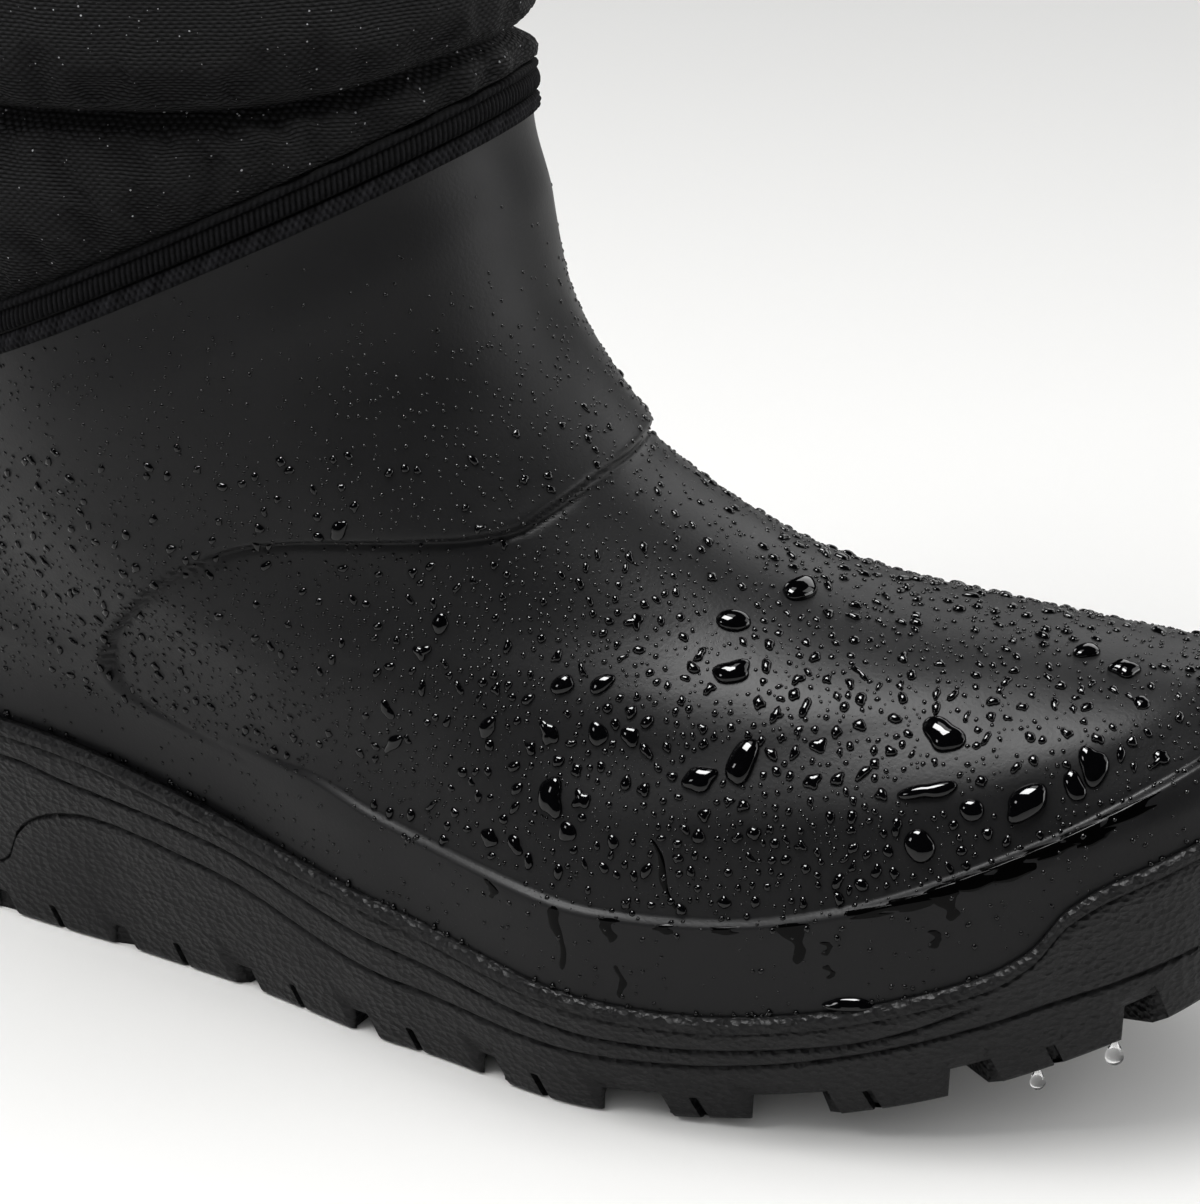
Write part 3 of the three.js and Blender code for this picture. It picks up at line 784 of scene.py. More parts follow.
def makeShell():
    angles = evenAngles(shell["columns"] + 1, 60)
    seat = insetPlan(angles, np.full(angles.shape, sole["lipWidth"] + 1.0))
    lip = lipHeight(seat[:, 0])
    rand = randHeight(seat[:, 0])
    top = seamHeight(angles) + seam["cover"]
    hidden = evenHeights(angles, bedHeight(seat[:, 0]) + seam["gap"], lip - 2, 4)[:-1]
    band = evenHeights(angles, lip - 2, rand - 3, 16)[:-1]
    ledge = evenHeights(angles, rand - 3, rand + 3, 17)[:-1]
    crispFrom = np.full(angles.shape, float(shell["crispFrom"]))
    crispTo = np.minimum(shell["crispTo"], top - 4)
    below = evenHeights(angles, rand + 3, crispFrom, 46)[:-1]
    crisp = evenHeights(angles, crispFrom, crispTo, 42)[:-1]
    above = evenHeights(angles, crispTo, top, 36)
    heights = np.concatenate([hidden, band, ledge, below, crisp, above])
    around = np.broadcast_to(angles, heights.shape)
    base = bootPoint(around, heights)
    relief = shellRelief(base, heights, around)
    outside = bootOffset(around, heights, relief)
    inner = heights[::-8]
    inside = bootOffset(np.broadcast_to(angles, inner.shape), inner,
                        np.full(inner.shape, -shell["wall"]))
    points = np.concatenate([outside, inside, outside[:1]])
    piece = gridPiece("rubber_shell", points, surfaceUv(points), shellRubber)
    onBody(piece, "shell", "shell")


makeShell()
print("shell made")


# the shaft: quilted canvas over padding, tucked in at the fold and under the tapes

shaft = {
    "columns": 300, "wall": 8, "collarWall": 5.2, "top": 256, "binding": 1.4, "bindingDepth": 10,
    "fold": 186.5, "foldDepth": 4.6, "foldWidth": 2.3, "foldSway": 0.9, "foldRise": 6.5,
    "frontShare": 0.22, "puff": 1.7, "sag": 1.1, "pucker": 0.55, "puckers": 34,
    "frames": 14, "cap": 2.2,
    "cloth": {"quality": 6, "mass": 0.25, "tension_stiffness": 12, "compression_stiffness": 12,
              "shear_stiffness": 6, "bending_stiffness": 0.6, "use_pressure": True,
              "uniform_pressure_force": 3.2, "shrink_min": -0.035, "vertex_group_mass": "pinned",
              "pin_stiffness": 2},
}


def foldLine(angle):
    # the fold climbs over the instep and wavers a little on its way round
    rise = shaft["foldRise"] * np.exp(-(1 - np.cos(angle)) / shaft["frontShare"])
    sway = shaft["foldSway"] * np.sin(2 * angle + 0.7) + 0.4 * np.sin(5 * angle)
    return shaft["fold"] + rise + sway


def softNoise(points, seed, shortest=14, longest=42):
    # smooth unevenness of cloth, from a few slanted waves through space
    random = np.random.default_rng(seed)
    total = np.zeros(points.shape[:-1])
    for k in range(9):
        direction = random.normal(0, 1, 3)
        direction /= np.linalg.norm(direction)
        length, phase = random.uniform(shortest, longest), random.uniform(0, 2 * math.pi)
        total += np.sin(2 * math.pi * (points @ direction) / length + phase)
    return total / 9


def swell(piece, pinned):
    # air pressure fills the cloth between the pinned lines
    group = piece.vertex_groups.new(name="pinned")
    for weight in np.unique(np.round(pinned, 2)):
        if weight > 0:
            index = np.nonzero(np.abs(pinned - weight) < 0.006)[0]
            group.add([int(i) for i in index], float(weight), "REPLACE")
    cloth = piece.modifiers.new("swell", "CLOTH")
    for setting, value in shaft["cloth"].items():
        setattr(cloth.settings, setting, value)
    cloth.settings.effector_weights.gravity = 0
    cloth.collision_settings.use_collision = False
    cloth.point_cache.frame_start = 1
    cloth.point_cache.frame_end = shaft["frames"]
    scene = bpy.context.scene
    for frameNumber in range(1, shaft["frames"] + 1):
        scene.frame_set(frameNumber)
    bpy.context.view_layer.objects.active = piece
    bpy.ops.object.modifier_apply(modifier=cloth.name)
    scene.frame_set(1)


def readPoints(piece):
    points = np.empty(len(piece.data.vertices) * 3, dtype=np.float32)
    piece.data.vertices.foreach_get("co", points)
    return points.reshape(-1, 3)


def makeShaft():
    angles = evenAngles(shaft["columns"] + 1, 190)
    bottom = seamHeight(angles) + seam["cover"] + seam["gap"]
    fold = foldLine(angles)
    collarLow = np.full(angles.shape, float(shaft["top"] - shaft["bindingDepth"] - 2))
    top = np.full(angles.shape, shaft["top"] - shaft["binding"] - seam["gap"])
    tucked = seamHeight(angles) + seam["edgeTape"] + seam["gap"] + seam["ribTape"]
    share = np.linspace(0, 1, 27)[:, None]
    lower = tucked + (fold - 5 - tucked) * share
    close = fold + np.array([-4, -3, -2.2, -1.5, -0.8, 0, 0.8, 1.5, 2.2, 3, 4])[:, None]
    share = np.linspace(0, 1, 25)[:, None]
    over = fold + 5 + (collarLow - fold - 5) * share
    heights = np.concatenate([bottom[None], (bottom * 0.5 + tucked * 0.5)[None], lower, close, over,
                              (collarLow + 4)[None], top[None]])
    around = np.broadcast_to(angles, heights.shape)
    base = bootPoint(around, heights)
    turn = np.linspace(0, 2 * math.pi, len(angles))[None, :]
    girth = np.linalg.norm(np.diff(bootPoint(angles, fold), axis=0), axis=1).sum()
    uv = np.stack(np.broadcast_arrays(turn * girth / (2 * math.pi), heights), -1)
    tight = np.exp(-((heights - fold) / shaft["foldWidth"]) ** 2)
    lowPuff = np.sin(math.pi * np.clip((heights - tucked) / (fold - tucked), 0, 1)) ** 0.5
    highPuff = np.clip((heights - fold) / 9, 0, 1) ** 0.5
    highPuff = highPuff * np.clip((collarLow - heights) / 9, 0, 1) ** 0.5
    puff = np.where(heights < fold, lowPuff, highPuff)
    nearFold = np.exp(-np.abs(heights - fold) / 6)
    nearTape = np.exp(-np.abs(heights - tucked) / 5)
    pucker = np.sin(shaft["puckers"] * turn + 5 * softNoise(base, 3, 30, 60))
    pucker = pucker * (nearFold + 0.7 * nearTape)
    deep = shaft["foldDepth"] * (1 - 0.45 * np.exp(-(1 - np.cos(angles)) / 0.15))
    relief = shaft["puff"] * puff - deep * tight
    relief = relief + puff * (shaft["sag"] * softNoise(base, 11) + shaft["pucker"] * pucker)
    relief = relief + 0.7 * nearFold * np.sign(heights - fold + 0.01) * (heights > fold)
    relief = np.where(heights < tucked + 0.3, 0.0, relief)
    relief[-2:] = 0
    outside = bootOffset(around, heights, relief)
    pinned = np.clip(1 - puff * 1.4, 0, 1)
    pinned = np.where((heights <= tucked + 1) | (tight > 0.5), 1.0, pinned)
    pinned[-4:] = 1
    piece = gridPiece("canvas_shaft", outside, uv, canvas)
    swellShaft(piece, outside, pinned)
    # the fleece inside, joined on at the top and bottom edges
    innerHeights = heights[::4][::-1]
    depth = np.where(innerHeights > collarLow + 1, shaft["collarWall"], shaft["wall"])
    inside = bootOffset(np.broadcast_to(angles, innerHeights.shape), innerHeights, -depth)
    rim = np.concatenate([outside[-1:], inside, outside[:1]])
    lining = gridPiece("fleece_leg_lining", rim, surfaceUv(rim), fleece)
    onBody(piece, "shaft", "shaft")
    onBody(lining, "shaft")


def swellShaft(piece, outside, pinned):
    # merged seam vertices keep the grid's order, without the last column
    before = readPoints(piece)
    pins = pinned[:, :-1].ravel()[matchOrder(before, outside[:, :-1].reshape(-1, 3) * mm)]
    swell(piece, pins)
    after = readPoints(piece)
    move = after - before
    length = np.linalg.norm(move, axis=1, keepdims=True)
    limit = shaft["cap"] * mm * (1 - pins[:, None])
    move = move * np.minimum(1, limit / np.maximum(length, 1e-9))
    piece.data.vertices.foreach_set("co", (before + move).astype(np.float32).ravel())
    piece.data.update()
    print("shaft swelled", round(float(length.max() * 1000), 2), "mm at most")


def matchOrder(points, wanted):
    # for each mesh point, the nearest of the wanted ones
    tree = KDTree(len(wanted))
    for k, place in enumerate(wanted):
        tree.insert(place, k)
    tree.balance()
    return np.array([tree.find(place)[1] for place in points])


makeShaft()
print("shaft made")


# tapes over the seam: a knitted edge below, grosgrain ribs with a rolled edge above

tapes = {"ribPitch": 1.12, "ribDepth": 0.6, "stepsPerRib": 6, "ribShare": 0.68, "stitches": 310,
         "knitRows": 3, "knitDepth": 0.3, "bindingRibs": 360, "stepsPerBindingRib": 4}


def bandPoints(angles, low, high, shares, reliefs):
    heights = (low + (high - low) * np.array(shares)[:, None])
    around = np.broadcast_to(angles, heights.shape)
    return bootOffset(around, heights, reliefs)


def makeBand(name, angles, low, width, shares, relief, paintedThreadLight, material, node):
    # a tape round the leg with its flat back; a field gives each thread its painted light, how much
    # light it takes painted into its colour
    points = bandPoints(angles, low, low + width, shares, relief)
    back = bandPoints(angles, low, low + width, (0.98, 0.02), np.full((2, len(angles)), seam["gap"]))
    points = np.concatenate([points, back, points[:1]])
    paintedThreadLight = np.concatenate([paintedThreadLight, np.zeros((3, len(angles)))])
    piece = gridPiece(name, points, surfaceUv(points), material, fields={"paintedThreadLight": paintedThreadLight})
    onBody(piece, node, node)


def makeSeamTape():
    ring = evenAngles(4001, 150)
    around = np.linalg.norm(np.diff(bootPoint(ring, seamHeight(ring)), axis=0), axis=1).sum()
    ribs = int(round(around / tapes["ribPitch"]))
    angles = seamAngles(ribs * tapes["stepsPerRib"] + 1)
    turn = np.linspace(0, 2 * math.pi * ribs, len(angles))
    shares = np.array([0, 0.03, 0.1, 0.2, 0.35, 0.5, 0.62, 0.68, 0.72, 0.78, 0.86, 0.94, 1.0])
    plain = seam["gap"] + seam["thick"]
    relief = np.zeros((len(shares), len(angles)))
    paintedThreadLight = np.zeros(relief.shape)
    for j, share in enumerate(shares):
        if share < tapes["ribShare"]:
            body = np.sin(math.pi * np.clip(share / tapes["ribShare"], 0, 1)) ** 0.35
            wave = np.abs(np.cos(turn / 2 + 1.5 * share)) ** 0.8
            uneven = 0.12 * np.sin(turn / 7.3) * np.sin(turn / 3.1)
            relief[j] = plain - 0.75 * (1 - body) + tapes["ribDepth"] * (wave - 0.45 + uneven) * body
            # painted light: rib crests lighter, furrows darker, and darker still where the tape turns
            # under at its edges
            paintedThreadLight[j] = wave ** 2 * body ** 2
        else:
            body = np.sin(math.pi * np.clip((share - 0.67) / 0.33, 0, 1)) ** 0.5
            twist = np.sin(turn * 0.83 + share * 9)
            relief[j] = plain - 0.8 + 0.95 * body + 0.13 * twist * body
            # painted light on the rolled edge: lighter along its twist, darker where it turns under
            paintedThreadLight[j] = (0.65 + 0.3 * twist) * body ** 2
    low = seamHeight(angles) + seam["edgeTape"] + seam["gap"]
    makeBand("grosgrain_seam_tape", angles, low, seam["ribTape"], shares, relief, paintedThreadLight, tapeCloth,
             "seam_tape")


def makeEdgeTape():
    angles = seamAngles(1801)
    turn = np.linspace(0, 2 * math.pi * tapes["stitches"], len(angles))
    shares = np.linspace(0, 1, 13)
    plain = seam["gap"] + seam["thick"]
    relief = np.zeros((len(shares), len(angles)))
    paintedThreadLight = np.zeros(relief.shape)
    for j, share in enumerate(shares):
        body = np.sin(math.pi * np.clip(share, 0, 1)) ** 0.4
        row = math.floor(share * (tapes["knitRows"] - 0.01))
        across = np.cos(math.pi * (share * tapes["knitRows"] - row - 0.5))
        loop = np.cos(turn + math.pi * (row % 2)) * across
        uneven = 0.35 * np.sin(turn / 5.7 + 2 * share) + 0.3 * np.sin(turn / 3.3 + 5 * share)
        relief[j] = plain - 0.85 * (1 - body) + body * (tapes["knitDepth"] * (loop + uneven) - 0.25)
        # painted light on the knit: loop crests lighter and the tape's turned edges darker, with a
        # random unevenness of tone over it
        paintedThreadLight[j] = np.clip(0.55 + 0.3 * loop + 0.25 * uneven, 0, 1) * body
    makeBand("knitted_edge_tape", angles, seamHeight(angles), seam["edgeTape"], shares, relief,
             paintedThreadLight, knitCloth, "edge_tape")


def makeCollarBinding():
    angles = evenAngles(tapes["bindingRibs"] * tapes["stepsPerBindingRib"] + 1, 250)
    turn = np.linspace(0, 2 * math.pi * tapes["bindingRibs"], len(angles))
    inside = -shaft["collarWall"] - seam["gap"]
    thick, top = shaft["binding"], shaft["top"]
    low = top - shaft["bindingDepth"]
    out = seam["gap"] + thick
    # distance off the last, height, share of the ribs that shows
    profile = ((seam["gap"], low, 0), (out - 0.4, low, 0.3), (out, low + 1, 1),
               (out + 0.2, low + 4, 1), (out, low + 7, 1), (out - 0.3, low + 8.6, 1),
               (-0.4, top - 0.35, 0.8), (inside / 2, top, 0.6), (inside + 0.4, top - 0.35, 0.8),
               (inside - thick, low + 8, 1), (inside - thick, low + 4, 1),
               (inside - thick, low + 1, 1), (inside, low, 0), (inside, top - thick, 0),
               (seam["gap"], top - thick, 0), (seam["gap"], low, 0))
    rings = []
    for distance, height, ribs in profile:
        level = np.full(angles.shape, float(height))
        side = 1 if distance > inside / 2 else -1
        ring = bootOffset(angles, level, distance + side * 0.16 * ribs * np.cos(turn))
        ring[:, 2] = height
        rings.append(ring)
    points = np.array(rings)
    # painted light: the rib crests lighter, the furrows darker
    paintedThreadLight = np.broadcast_to(0.6 + 0.35 * np.cos(turn), points.shape[:2])
    piece = gridPiece("collar_binding", points, surfaceUv(points), tapeCloth,
                      fields={"paintedThreadLight": paintedThreadLight})
    onBody(piece, "collar_binding", "collar_binding")


makeSeamTape()
makeEdgeTape()
makeCollarBinding()
print("tapes made")


# inside: a fleece insole on the bed and a fleece lining up the shell's inner wall

insole = {
    "thick": 5, "unevenness": 0.35, "lining": 1.6,
    # how far in from the edge, share of the way out from the middle, height over the bed
    "profile": ((3, 0, 0.3), (3, 0.5, 0.3), (0.8, 1, 0.3), (0, 1, 0.9), (0, 1, 3.4), (0.35, 1, 4.3),
                (1.1, 1, 4.8), (2.4, 1, 5), (3, 0.9, 5), (3, 0.75, 5), (3, 0.55, 5), (3, 0.35, 5),
                (3, 0.15, 5), (3, 0, 5)),
}


def makeInsole():
    angles = evenAngles(221, 60)
    x = solePlan(angles)[:, 0]
    inset = sole["lipWidth"] + shell["wall"] + 0.6 + sole["draft"] * (1 - bedHeight(x) / lipHeight(x))
    centre = soleCentre(angles)
    rings = []
    for extra, share, height in insole["profile"]:
        plan = insetPlan(angles, inset + extra)
        y = centre + (plan[:, 1] - centre) * share
        flat = np.column_stack([plan[:, 0], y, y * 0])
        z = bedHeight(plan[:, 0]) + height + toeLift(plan[:, 0])
        if height == insole["thick"]:
            z = z - insole["unevenness"] + insole["unevenness"] * softNoise(flat, 21)
        rings.append(np.column_stack([plan[:, 0], y, z]))
    points = np.array(rings)
    piece = gridPiece("fleece_insole", points, surfaceUv(points), fleece)
    onBody(piece, "insole", "insole")


def makeFootLining():
    angles = evenAngles(221, 60)
    plan = insetPlan(angles, np.full(angles.shape, sole["lipWidth"]))
    low = bedHeight(plan[:, 0]) + insole["thick"] + 0.6
    top = seamHeight(angles) + seam["cover"] - 0.4
    heights = evenHeights(angles, low, top, 44)
    around = np.broadcast_to(angles, heights.shape)
    near = -(shell["wall"] + 0.15)
    pile = 0.2 * softNoise(bootPoint(around, heights), 5, 5, 12)
    face = bootOffset(around, heights, near - insole["lining"] + pile)
    back = bootOffset(around[::-3], heights[::-3], np.full(heights[::-3].shape, near))
    points = np.concatenate([face, back, face[:1]])
    piece = gridPiece("fleece_foot_lining", points, surfaceUv(points), fleece)
    onBody(piece, "shell")


makeInsole()
makeFootLining()
print("insole and lining made")


# water: beads in four sizes on the shell, dew on the canvas, thin runs and two hanging drops

largeDrops = (
    # where they lie: x, height over the lifted floor, down, across, turn in degrees
    (56, 92.5, 6, 9, 5), (48, 91.5, 5, 7, -10), (51, 85, 5, 8, 15), (57, 72, 8.5, 4.6, -20),
    (50, 69.5, 5, 7, 25), (23, 64.5, 7, 4.6, 10), (29, 65, 3.6, 3.4, 0), (27, 59, 3.8, 3.6, 0),
    (22, 83.5, 3.6, 5.4, 30), (29, 84, 3.2, 6.4, 35), (30, 76, 4.6, 3.4, 20), (36, 76, 3.8, 3.4, 0),
    (91, 71, 7, 7, 40), (91, 63.5, 4.4, 10, 15), (99, 58.5, 4.2, 4.6, 0), (91, 54.5, 6, 5.6, -20),
    (108, 57, 6, 10, 35), (118, 59, 7, 5, 0), (115.5, 57, 5.4, 3.6, 20), (118, 69.5, 5, 6, 0),
    (110, 73.5, 4.6, 5.6, 10), (11, 54.5, 3.8, 3.2, 0), (16.5, 54.5, 3, 3.4, 0),
    (80.5, 26.6, 2.8, 12, 3), (-20.5, 110, 3, 4.8, 60),
)

rain = {
    # tall is height over radius; uneven is how far the outline strays; most is a piece's share
    "mist": {"tries": 25000, "low": 0.13, "high": 0.3, "tall": 0.7, "uneven": 0.05,
             "around": 6, "rings": 1, "most": 9000},
    "beads": {"tries": 14000, "low": 0.3, "high": 0.85, "tall": 0.8, "uneven": 0.11,
              "around": 8, "rings": 2, "most": 4500},
    "drops": {"tries": 1800, "low": 0.75, "high": 1.4, "tall": 0.76, "uneven": 0.17,
              "around": 13, "rings": 3, "most": 1800},
    "pools": {"tries": 30, "low": 1.4, "high": 2.1, "tall": 0.6, "uneven": 0.2,
              "around": 28, "rings": 6, "most": 800},
    "edge": 98,      # degrees at which a bead meets the rubber
    "sunk": 0.06,    # how deep its foot lies in the rubber
    "sag": 0.22, "placedUneven": 0.62, "spacing": 1.18, "mistSpacing": 1.3,
    # patches of the vamp: x and z of the middle, reach along and reach up
    "wet": (62, 66, 52, 26), "withDrops": (68, 62, 38, 19), "withLarger": (62, 66, 60, 32),
    "edgeBeads": 700, "onLip": 0.72,
    "canvasDrops": 1500, "largeOnCanvas": 16, "overSeam": 11, "underTop": 242,
    # hanging under the toe lugs: x along the boot, how far they hang, radius
    "hanging": ((112, 3.1, 1.5), (124.5, 3.6, 1.8)),
}


def beadTemplate(around, rings):
    # unit bead: footprint radius 1, crown at height 1, the first points at the foot
    edge = math.radians(rain["edge"])
    lean = np.linspace(edge, 0, rings + 1)[:-1]
    out = np.sin(lean) / math.sin(edge)
    up = (np.cos(lean) - math.cos(edge)) / (1 - math.cos(edge))
    turn = np.arange(around) * 2 * math.pi / around
    faces = []
    for j in range(rings - 1):
        for k in range(around):
            nxt = (k + 1) % around
            faces.append((j * around + k, j * around + nxt, (j + 1) * around + nxt,
                          (j + 1) * around + k))
    crown = rings * around
    caps = [((rings - 1) * around + k, (rings - 1) * around + (k + 1) % around, crown)
            for k in range(around)]
    foot = tuple(range(around - 1, -1, -1))
    return out, up, turn, faces, caps, foot


def makeBeads(name, centres, normals, sizes, kind, seed, slotName, material, shaped=None):
    bead = rain[kind]
    around, rings, sunk = bead["around"], bead["rings"], rain["sunk"]
    out, up, turn, faces, caps, foot = beadTemplate(around, rings)
    random = np.random.default_rng(seed)
    count = len(centres)
    down = np.array([0.0, 0.0, -1.0])
    fall = down - normals * (normals @ down)[:, None]
    fall /= np.maximum(np.linalg.norm(fall, axis=1, keepdims=True), 1e-6)
    across = np.cross(normals, fall)
    shape = np.ones((count, around))
    for wave in (2, 3, 4):
        amount = random.normal(0, bead["uneven"] / (wave - 1) ** 0.6, count)
        phase = random.uniform(0, 2 * math.pi, count)
        shape += amount[:, None] * np.cos(wave * turn[None, :] + phase[:, None])
    shape = np.clip(shape, 0.45, 1.8)
    tilt = random.uniform(-0.9, 0.9, count)
    longer = 1 + np.abs(random.normal(0, bead["uneven"] * 1.4, count))
    if shaped is not None:
        longer, tilt = shaped
        shape = 1 + (shape - 1) * rain["placedUneven"]
    fromCentre = sizes[:, None] * shape
    along = fromCentre * np.cos(turn)[None, :] * longer[:, None]
    side = fromCentre * np.sin(turn)[None, :] / np.sqrt(longer)[:, None]
    alongTurned = along * np.cos(tilt)[:, None] - side * np.sin(tilt)[:, None]
    sideTurned = along * np.sin(tilt)[:, None] + side * np.cos(tilt)[:, None]
    height = sizes * bead["tall"] * random.uniform(0.8, 1.1, count)
    sag = rain["sag"] * (1 - np.abs(normals[:, 2]))
    points = np.empty((count, rings * around + 1, 3))
    for j in range(rings):
        shift = sag * up[j] * sizes
        ring = (alongTurned * out[j] + shift[:, None])[..., None] * fall[:, None, :]
        ring = ring + (sideTurned * out[j])[..., None] * across[:, None, :]
        lift = height * up[j] - sunk - 0.1 * sizes * (j == 0)
        rise = lift[:, None, None] * normals[:, None, :]
        points[:, j * around:(j + 1) * around] = centres[:, None, :] + ring + rise
    points[:, -1] = centres + (sag * sizes)[:, None] * fall + (height - sunk)[:, None] * normals
    joinBeads(name, points, faces, caps, foot, slotName, material)


def joinBeads(name, points, faces, caps, foot, slotName, material):
    count, each = points.shape[:2]
    sizes = [len(f) for f in faces] + [3] * len(caps) + [len(foot)]
    flat = np.array([i for f in faces for i in f] + [i for c in caps for i in c] + list(foot))
    loops = (flat[None, :] + (np.arange(count) * each)[:, None]).ravel()
    totals = np.tile(sizes, count)
    starts = np.concatenate([[0], np.cumsum(totals)[:-1]])
    mesh = bpy.data.meshes.new(name)
    mesh.vertices.add(count * each)
    mesh.vertices.foreach_set("co", (points * mm).astype(np.float32).ravel())
    mesh.loops.add(len(loops))
    mesh.loops.foreach_set("vertex_index", loops.astype(np.int32))
    mesh.polygons.add(len(totals))
    mesh.polygons.foreach_set("loop_start", starts.astype(np.int32))
    mesh.polygons.foreach_set("loop_total", totals.astype(np.int32))
    mesh.polygons.foreach_set("use_smooth", np.ones(len(totals), dtype=bool))
    mesh.update(calc_edges=True)
    mesh.validate()
    piece = bpy.data.objects.new(name, mesh)
    bpy.context.collection.objects.link(piece)
    mesh.materials.append(material)
    pointOutwards(piece)
    onBody(piece, slotName)


def cellsRound(key, reach):
    steps = range(-reach, reach + 1)
    return [(key[0] + i, key[1] + j, key[2] + m) for i in steps for j in steps for m in steps]


def spaced(points, sizes, taken, gap):
    # keeps the points, larger ones first, that stay clear of all that was kept before
    kept = []
    cell, wide, widest = 2.0, 0.8, 3.5
    for k in np.argsort(-sizes):
        place, size = points[k], sizes[k]
        key = tuple(np.floor(place / cell).astype(int))
        reach = int(math.ceil((size + widest) / cell)) if size > wide else 1
        near = (other for spot in cellsRound(key, reach) for other in taken.get(spot, ()))
        if any(np.dot(at - place, at - place) < (gap * (size + radius)) ** 2 for at, radius in near):
            continue
        kept.append(k)
        cover = int(math.ceil(size / cell)) if size > wide else 0
        for spot in cellsRound(key, cover):
            taken.setdefault(spot, []).append((place, size))
    return np.array(kept, dtype=int)


def onPatch(name, x, z):
    middleX, middleZ, along, up = rain[name]
    return np.exp(-(((x - middleX) / along) ** 2 + ((z - middleZ) / up) ** 2))


def wetness(x, z, over):
    # share of rain held at a place on the shell: most on the vamp, little up the leg
    vamp = onPatch("wet", x, z)
    foot = 0.5 * smooth((122 - z) / 30) * smooth((x + 110) / 50)
    leg = 0.32 * smooth((168 - z) / 50)
    amount = np.maximum(np.maximum(vamp, foot), leg)
    return np.where(over < 0, amount * 0.25, amount)


def shellAngle(x, height):
    # the angle on the outer side at which the shell passes x at this height
    fine = np.linspace(0.02, math.pi, 1501)
    ring = bootPoint(fine, np.full(fine.shape, float(height)))
    return np.interp(-x, -ring[:, 0], fine)


def placeLargeDrops(taken):
    rows = np.array(largeDrops, dtype=float)
    angle = np.array([shellAngle(x, height) for x, height in rows[:, :2]])
    height = rows[:, 1]
    base = bootPoint(angle, height)
    normals = bootNormal(angle, height)
    centres = base + normals * shellRelief(base, height, angle)[:, None]
    sizes = np.sqrt(rows[:, 2] * rows[:, 3]) / 2
    spaced(base, sizes, taken, 0)
    longer = (rows[:, 2] / rows[:, 3]) ** (2 / 3)
    makeBeads("water_large", centres, normals, sizes, "pools", 29, "shell", beadWater,
              shaped=(longer, np.radians(rows[:, 4])))


def scatterShell():
    random = np.random.default_rng(7)
    taken = {}
    placeLargeDrops(taken)
    for kind, seed in (("pools", 31), ("drops", 32), ("beads", 33), ("mist", 34)):
        tries, low, high = (rain[kind][name] for name in ("tries", "low", "high"))
        many = tries * 6
        angles = random.uniform(0, 2 * math.pi, many)
        lip = lipHeight(insetPlan(angles, np.full(many, sole["lipWidth"] + 1.0))[:, 0])
        top = seamHeight(angles)
        heights = lip + 1.5 + (top - lip - 3) * random.uniform(0, 1, many)
        points = bootPoint(angles, heights)
        step = 0.01
        across = np.linalg.norm(bootPoint(angles + step, heights) - points, axis=1) / step
        upwards = np.linalg.norm(bootPoint(angles, heights + 0.5) - points, axis=1) / 0.5
        area = across * upwards * (top - lip)
        x, z = points[:, 0], points[:, 2]
        over = heights - randHeight(x)
        chance = wetness(x, z, over)
        if kind in ("pools", "drops"):
            chance = onPatch("withDrops", x, z) * (over > 1.5)
            chance = chance + 0.035 * (kind == "drops") * (z < 125) * (over > 1.5)
        chance = chance * area
        pick = random.choice(many, size=tries, replace=False, p=chance / chance.sum())
        spread = random.uniform(0, 1, tries) ** 1.8
        sizes = low + (high - low) * spread * (0.35 + 0.65 * onPatch("withLarger", x[pick], z[pick]))
        angle, height = angles[pick], heights[pick]
        base = points[pick]
        kept = spaced(base, sizes, taken, rain["mistSpacing" if kind == "mist" else "spacing"])
        angle, height, base, sizes = angle[kept], height[kept], base[kept], sizes[kept]
        normals = bootNormal(angle, height)
        centres = base + normals * shellRelief(base, height, angle)[:, None]
        parts = math.ceil(len(kept) / rain[kind]["most"])
        for part in range(parts):
            some = slice(part, None, parts)
            name = "water_" + kind + ("_" + str(part + 1) if parts > 1 else "")
            makeBeads(name, centres[some], normals[some], sizes[some], kind, seed + 10 * part,
                      "shell", beadWater)
        print(kind, len(kept))


films = {
    "across": 9, "down": 42, "proud": 0.14,
    # x where it starts, how far under the rand's edge, length, width at the top, width of the run
    "runs": ((27, 0.4, 13, 3.6, 1.5), (36.5, 0.3, 5, 4.5, 1.6), (38.5, 10, 7, 1.2, 1.4),
             (71, 0.4, 8.5, 8, 1.8), (76.5, 5, 3, 1.5, 1.2), (77, 10, 3, 1.2, 1.2), (84, 0.3, 1.6, 9, 5),
             (91, 0.4, 2.4, 10, 5), (97, 0.3, 7, 8, 1.8), (95, 8, 4, 1.4, 2.0), (101, 0.3, 2.6, 9, 6),
             (107, 0.3, 3.4, 9, 5), (113, 0.3, 2.6, 9, 6), (119, 0.3, 3.6, 9, 5), (125, 0.3, 2.6, 9, 6),
             (58, 0.3, 1.6, 5, 3), (13, 0.6, 3.5, 2.6, 1.4), (47, 0.3, 2, 4, 2)),
    # on the vamp over the rand: x, height over the rand's edge, length, width
    "vamp": ((46, 15, 13, 1.2, 1.3),),
}


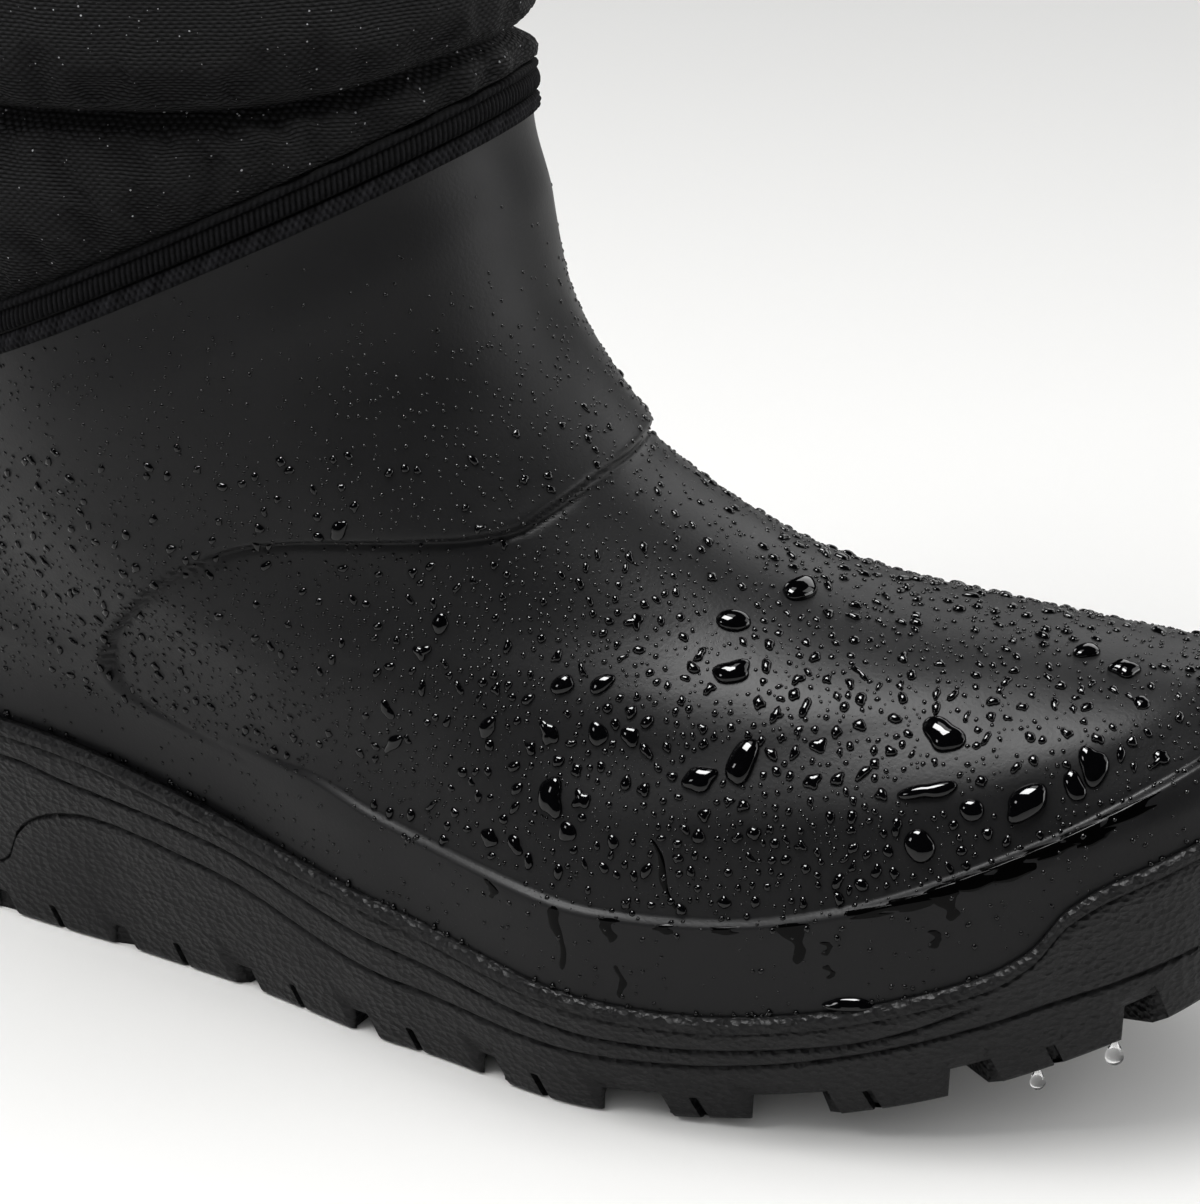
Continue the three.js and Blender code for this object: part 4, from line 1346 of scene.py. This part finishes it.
def makeFilms():
    random = np.random.default_rng(17)
    runs = [(x, -below, length, top, run) for x, below, length, top, run in films["runs"]]
    runs += list(films["vamp"])
    fine = np.linspace(0, math.pi, 1501)
    points = []
    for x, over, length, topWidth, runWidth in runs:
        share = np.linspace(0, 1, films["down"])[:, None]
        side = np.linspace(-1, 1, films["across"])[None, :]
        edge = float(randHeight(np.float64(x)))
        height = edge + over - length * share
        phase = random.uniform(0, 6, 3)
        width = runWidth + (topWidth - runWidth) * np.exp(-share * length / 2.2)
        width = width * (1 + 0.25 * np.sin(share * 9 + phase[0]) + 0.09 * np.sin(share * 19 + phase[1]))
        width = width * np.sqrt(np.clip(np.minimum(share * 14, (1 - share) * 7) + 0.03, 0, 1))
        sway = 0.5 * np.sin(share * 7 + phase[2])
        wanted = x + sway + side * width / 2
        height = np.broadcast_to(height, wanted.shape)
        ring = bootPoint(fine, np.full(fine.shape, edge + over - length / 2))
        angle = np.interp(-wanted, -ring[:, 0], fine)
        base = bootPoint(angle, height)
        thick = films["proud"] * (1 - np.abs(side) ** 2.5) - 0.03 + 0 * share
        thick = thick * np.minimum(1, np.minimum(share, 1 - share) * 12 + 0.05)
        points.append(bootOffset(angle, height, shellRelief(base, height, angle) + thick))
    for number, patch in enumerate(points):
        piece = gridPiece("water_film_" + str(number + 1), patch, surfaceUv(patch), filmWater,
                          closeAcross=False)
        onBody(piece, "shell")


def makeHangingDrops():
    for number, (x, hang, radius) in enumerate(rain["hanging"]):
        bpy.ops.mesh.primitive_uv_sphere_add(segments=28, ring_count=18, radius=radius * mm)
        piece = bpy.context.object
        piece.name = "hanging_drop_" + str(number + 1)
        local = readPoints(piece).astype(float)
        up = local[:, 2] / (radius * mm)
        taper = np.where(up > 0, 1 - 0.62 * up ** 1.4, 1.0)
        local[:, 0] *= taper
        local[:, 1] *= taper
        local[:, 2] = np.where(up > 0, local[:, 2] * hang / radius, local[:, 2])
        fine = np.linspace(0, math.pi, 1501)
        edge = insetPlan(fine, np.full(fine.shape, sole["draft"] + 1.6))
        y = np.interp(-x, -edge[:, 0], edge[:, 1])
        local += np.array([x, y, toeLift(x) - hang + 0.4]) * mm
        piece.data.vertices.foreach_set("co", local.astype(np.float32).ravel())
        piece.data.update()
        piece.data.materials.append(clearWater)
        bpy.ops.object.shade_smooth()
        piece.select_set(False)
        onBody(piece, "sole")


def scatterEdges():
    # beads caught in the corner on the sole's lip and along the rand's edge
    random = np.random.default_rng(13)
    count = rain["edgeBeads"]
    angle = random.uniform(0, 2 * math.pi, count)
    seat = insetPlan(angle, np.full(count, sole["lipWidth"] + 1.0))
    lip = lipHeight(seat[:, 0])
    rand = randHeight(seat[:, 0])
    onLip = random.uniform(0, 1, count) < rain["onLip"]
    height = np.where(onLip, lip + random.uniform(0.1, 0.9, count),
                      rand + random.uniform(-0.5, 0.7, count))
    sizes = 0.2 + 0.5 * random.uniform(0, 1, count) ** 3
    base = bootPoint(angle, height)
    normals = bootNormal(angle, height)
    centres = base + normals * (shellRelief(base, height, angle) + 0.25 * onLip)[:, None]
    makeBeads("water_on_edges", centres, normals, sizes, "beads", 43, "shell", beadWater)


def onCanvas(points, normals):
    # where lines from outside meet the finished shaft
    cloth = bpy.data.objects["canvas_shaft"]
    tree = BVHTree.FromObject(cloth, bpy.context.evaluated_depsgraph_get())
    places = np.array(points)
    for k, (point, normal) in enumerate(zip(points, normals)):
        place = tree.ray_cast(Vector(point + 15 * normal) * mm, Vector(-normal), 0.03)[0]
        if place is not None:
            places[k] = np.array(place) / mm
    return places


def scatterCanvas():
    random = np.random.default_rng(9)
    count, large = rain["canvasDrops"], rain["largeOnCanvas"]
    angles = random.uniform(0, 2 * math.pi, count)
    low = seamHeight(angles) + rain["overSeam"]
    heights = low + (rain["underTop"] - low) * random.uniform(0, 1, count)
    sizes = 0.12 + 0.22 * random.uniform(0, 1, count) ** 2.4
    sizes[:large] = random.uniform(0.55, 1.0, large)
    normals = bootNormal(angles, heights)
    centres = onCanvas(bootPoint(angles, heights), normals)
    makeBeads("water_on_canvas", centres[:large], normals[:large], sizes[:large], "drops", 41,
              "shaft", beadWater)
    makeBeads("dew_on_canvas", centres[large:], normals[large:], sizes[large:], "mist", 42,
              "shaft", dewPaintedGlints)


scatterShell()
scatterEdges()
scatterCanvas()
makeFilms()
makeHangingDrops()
print("water made")
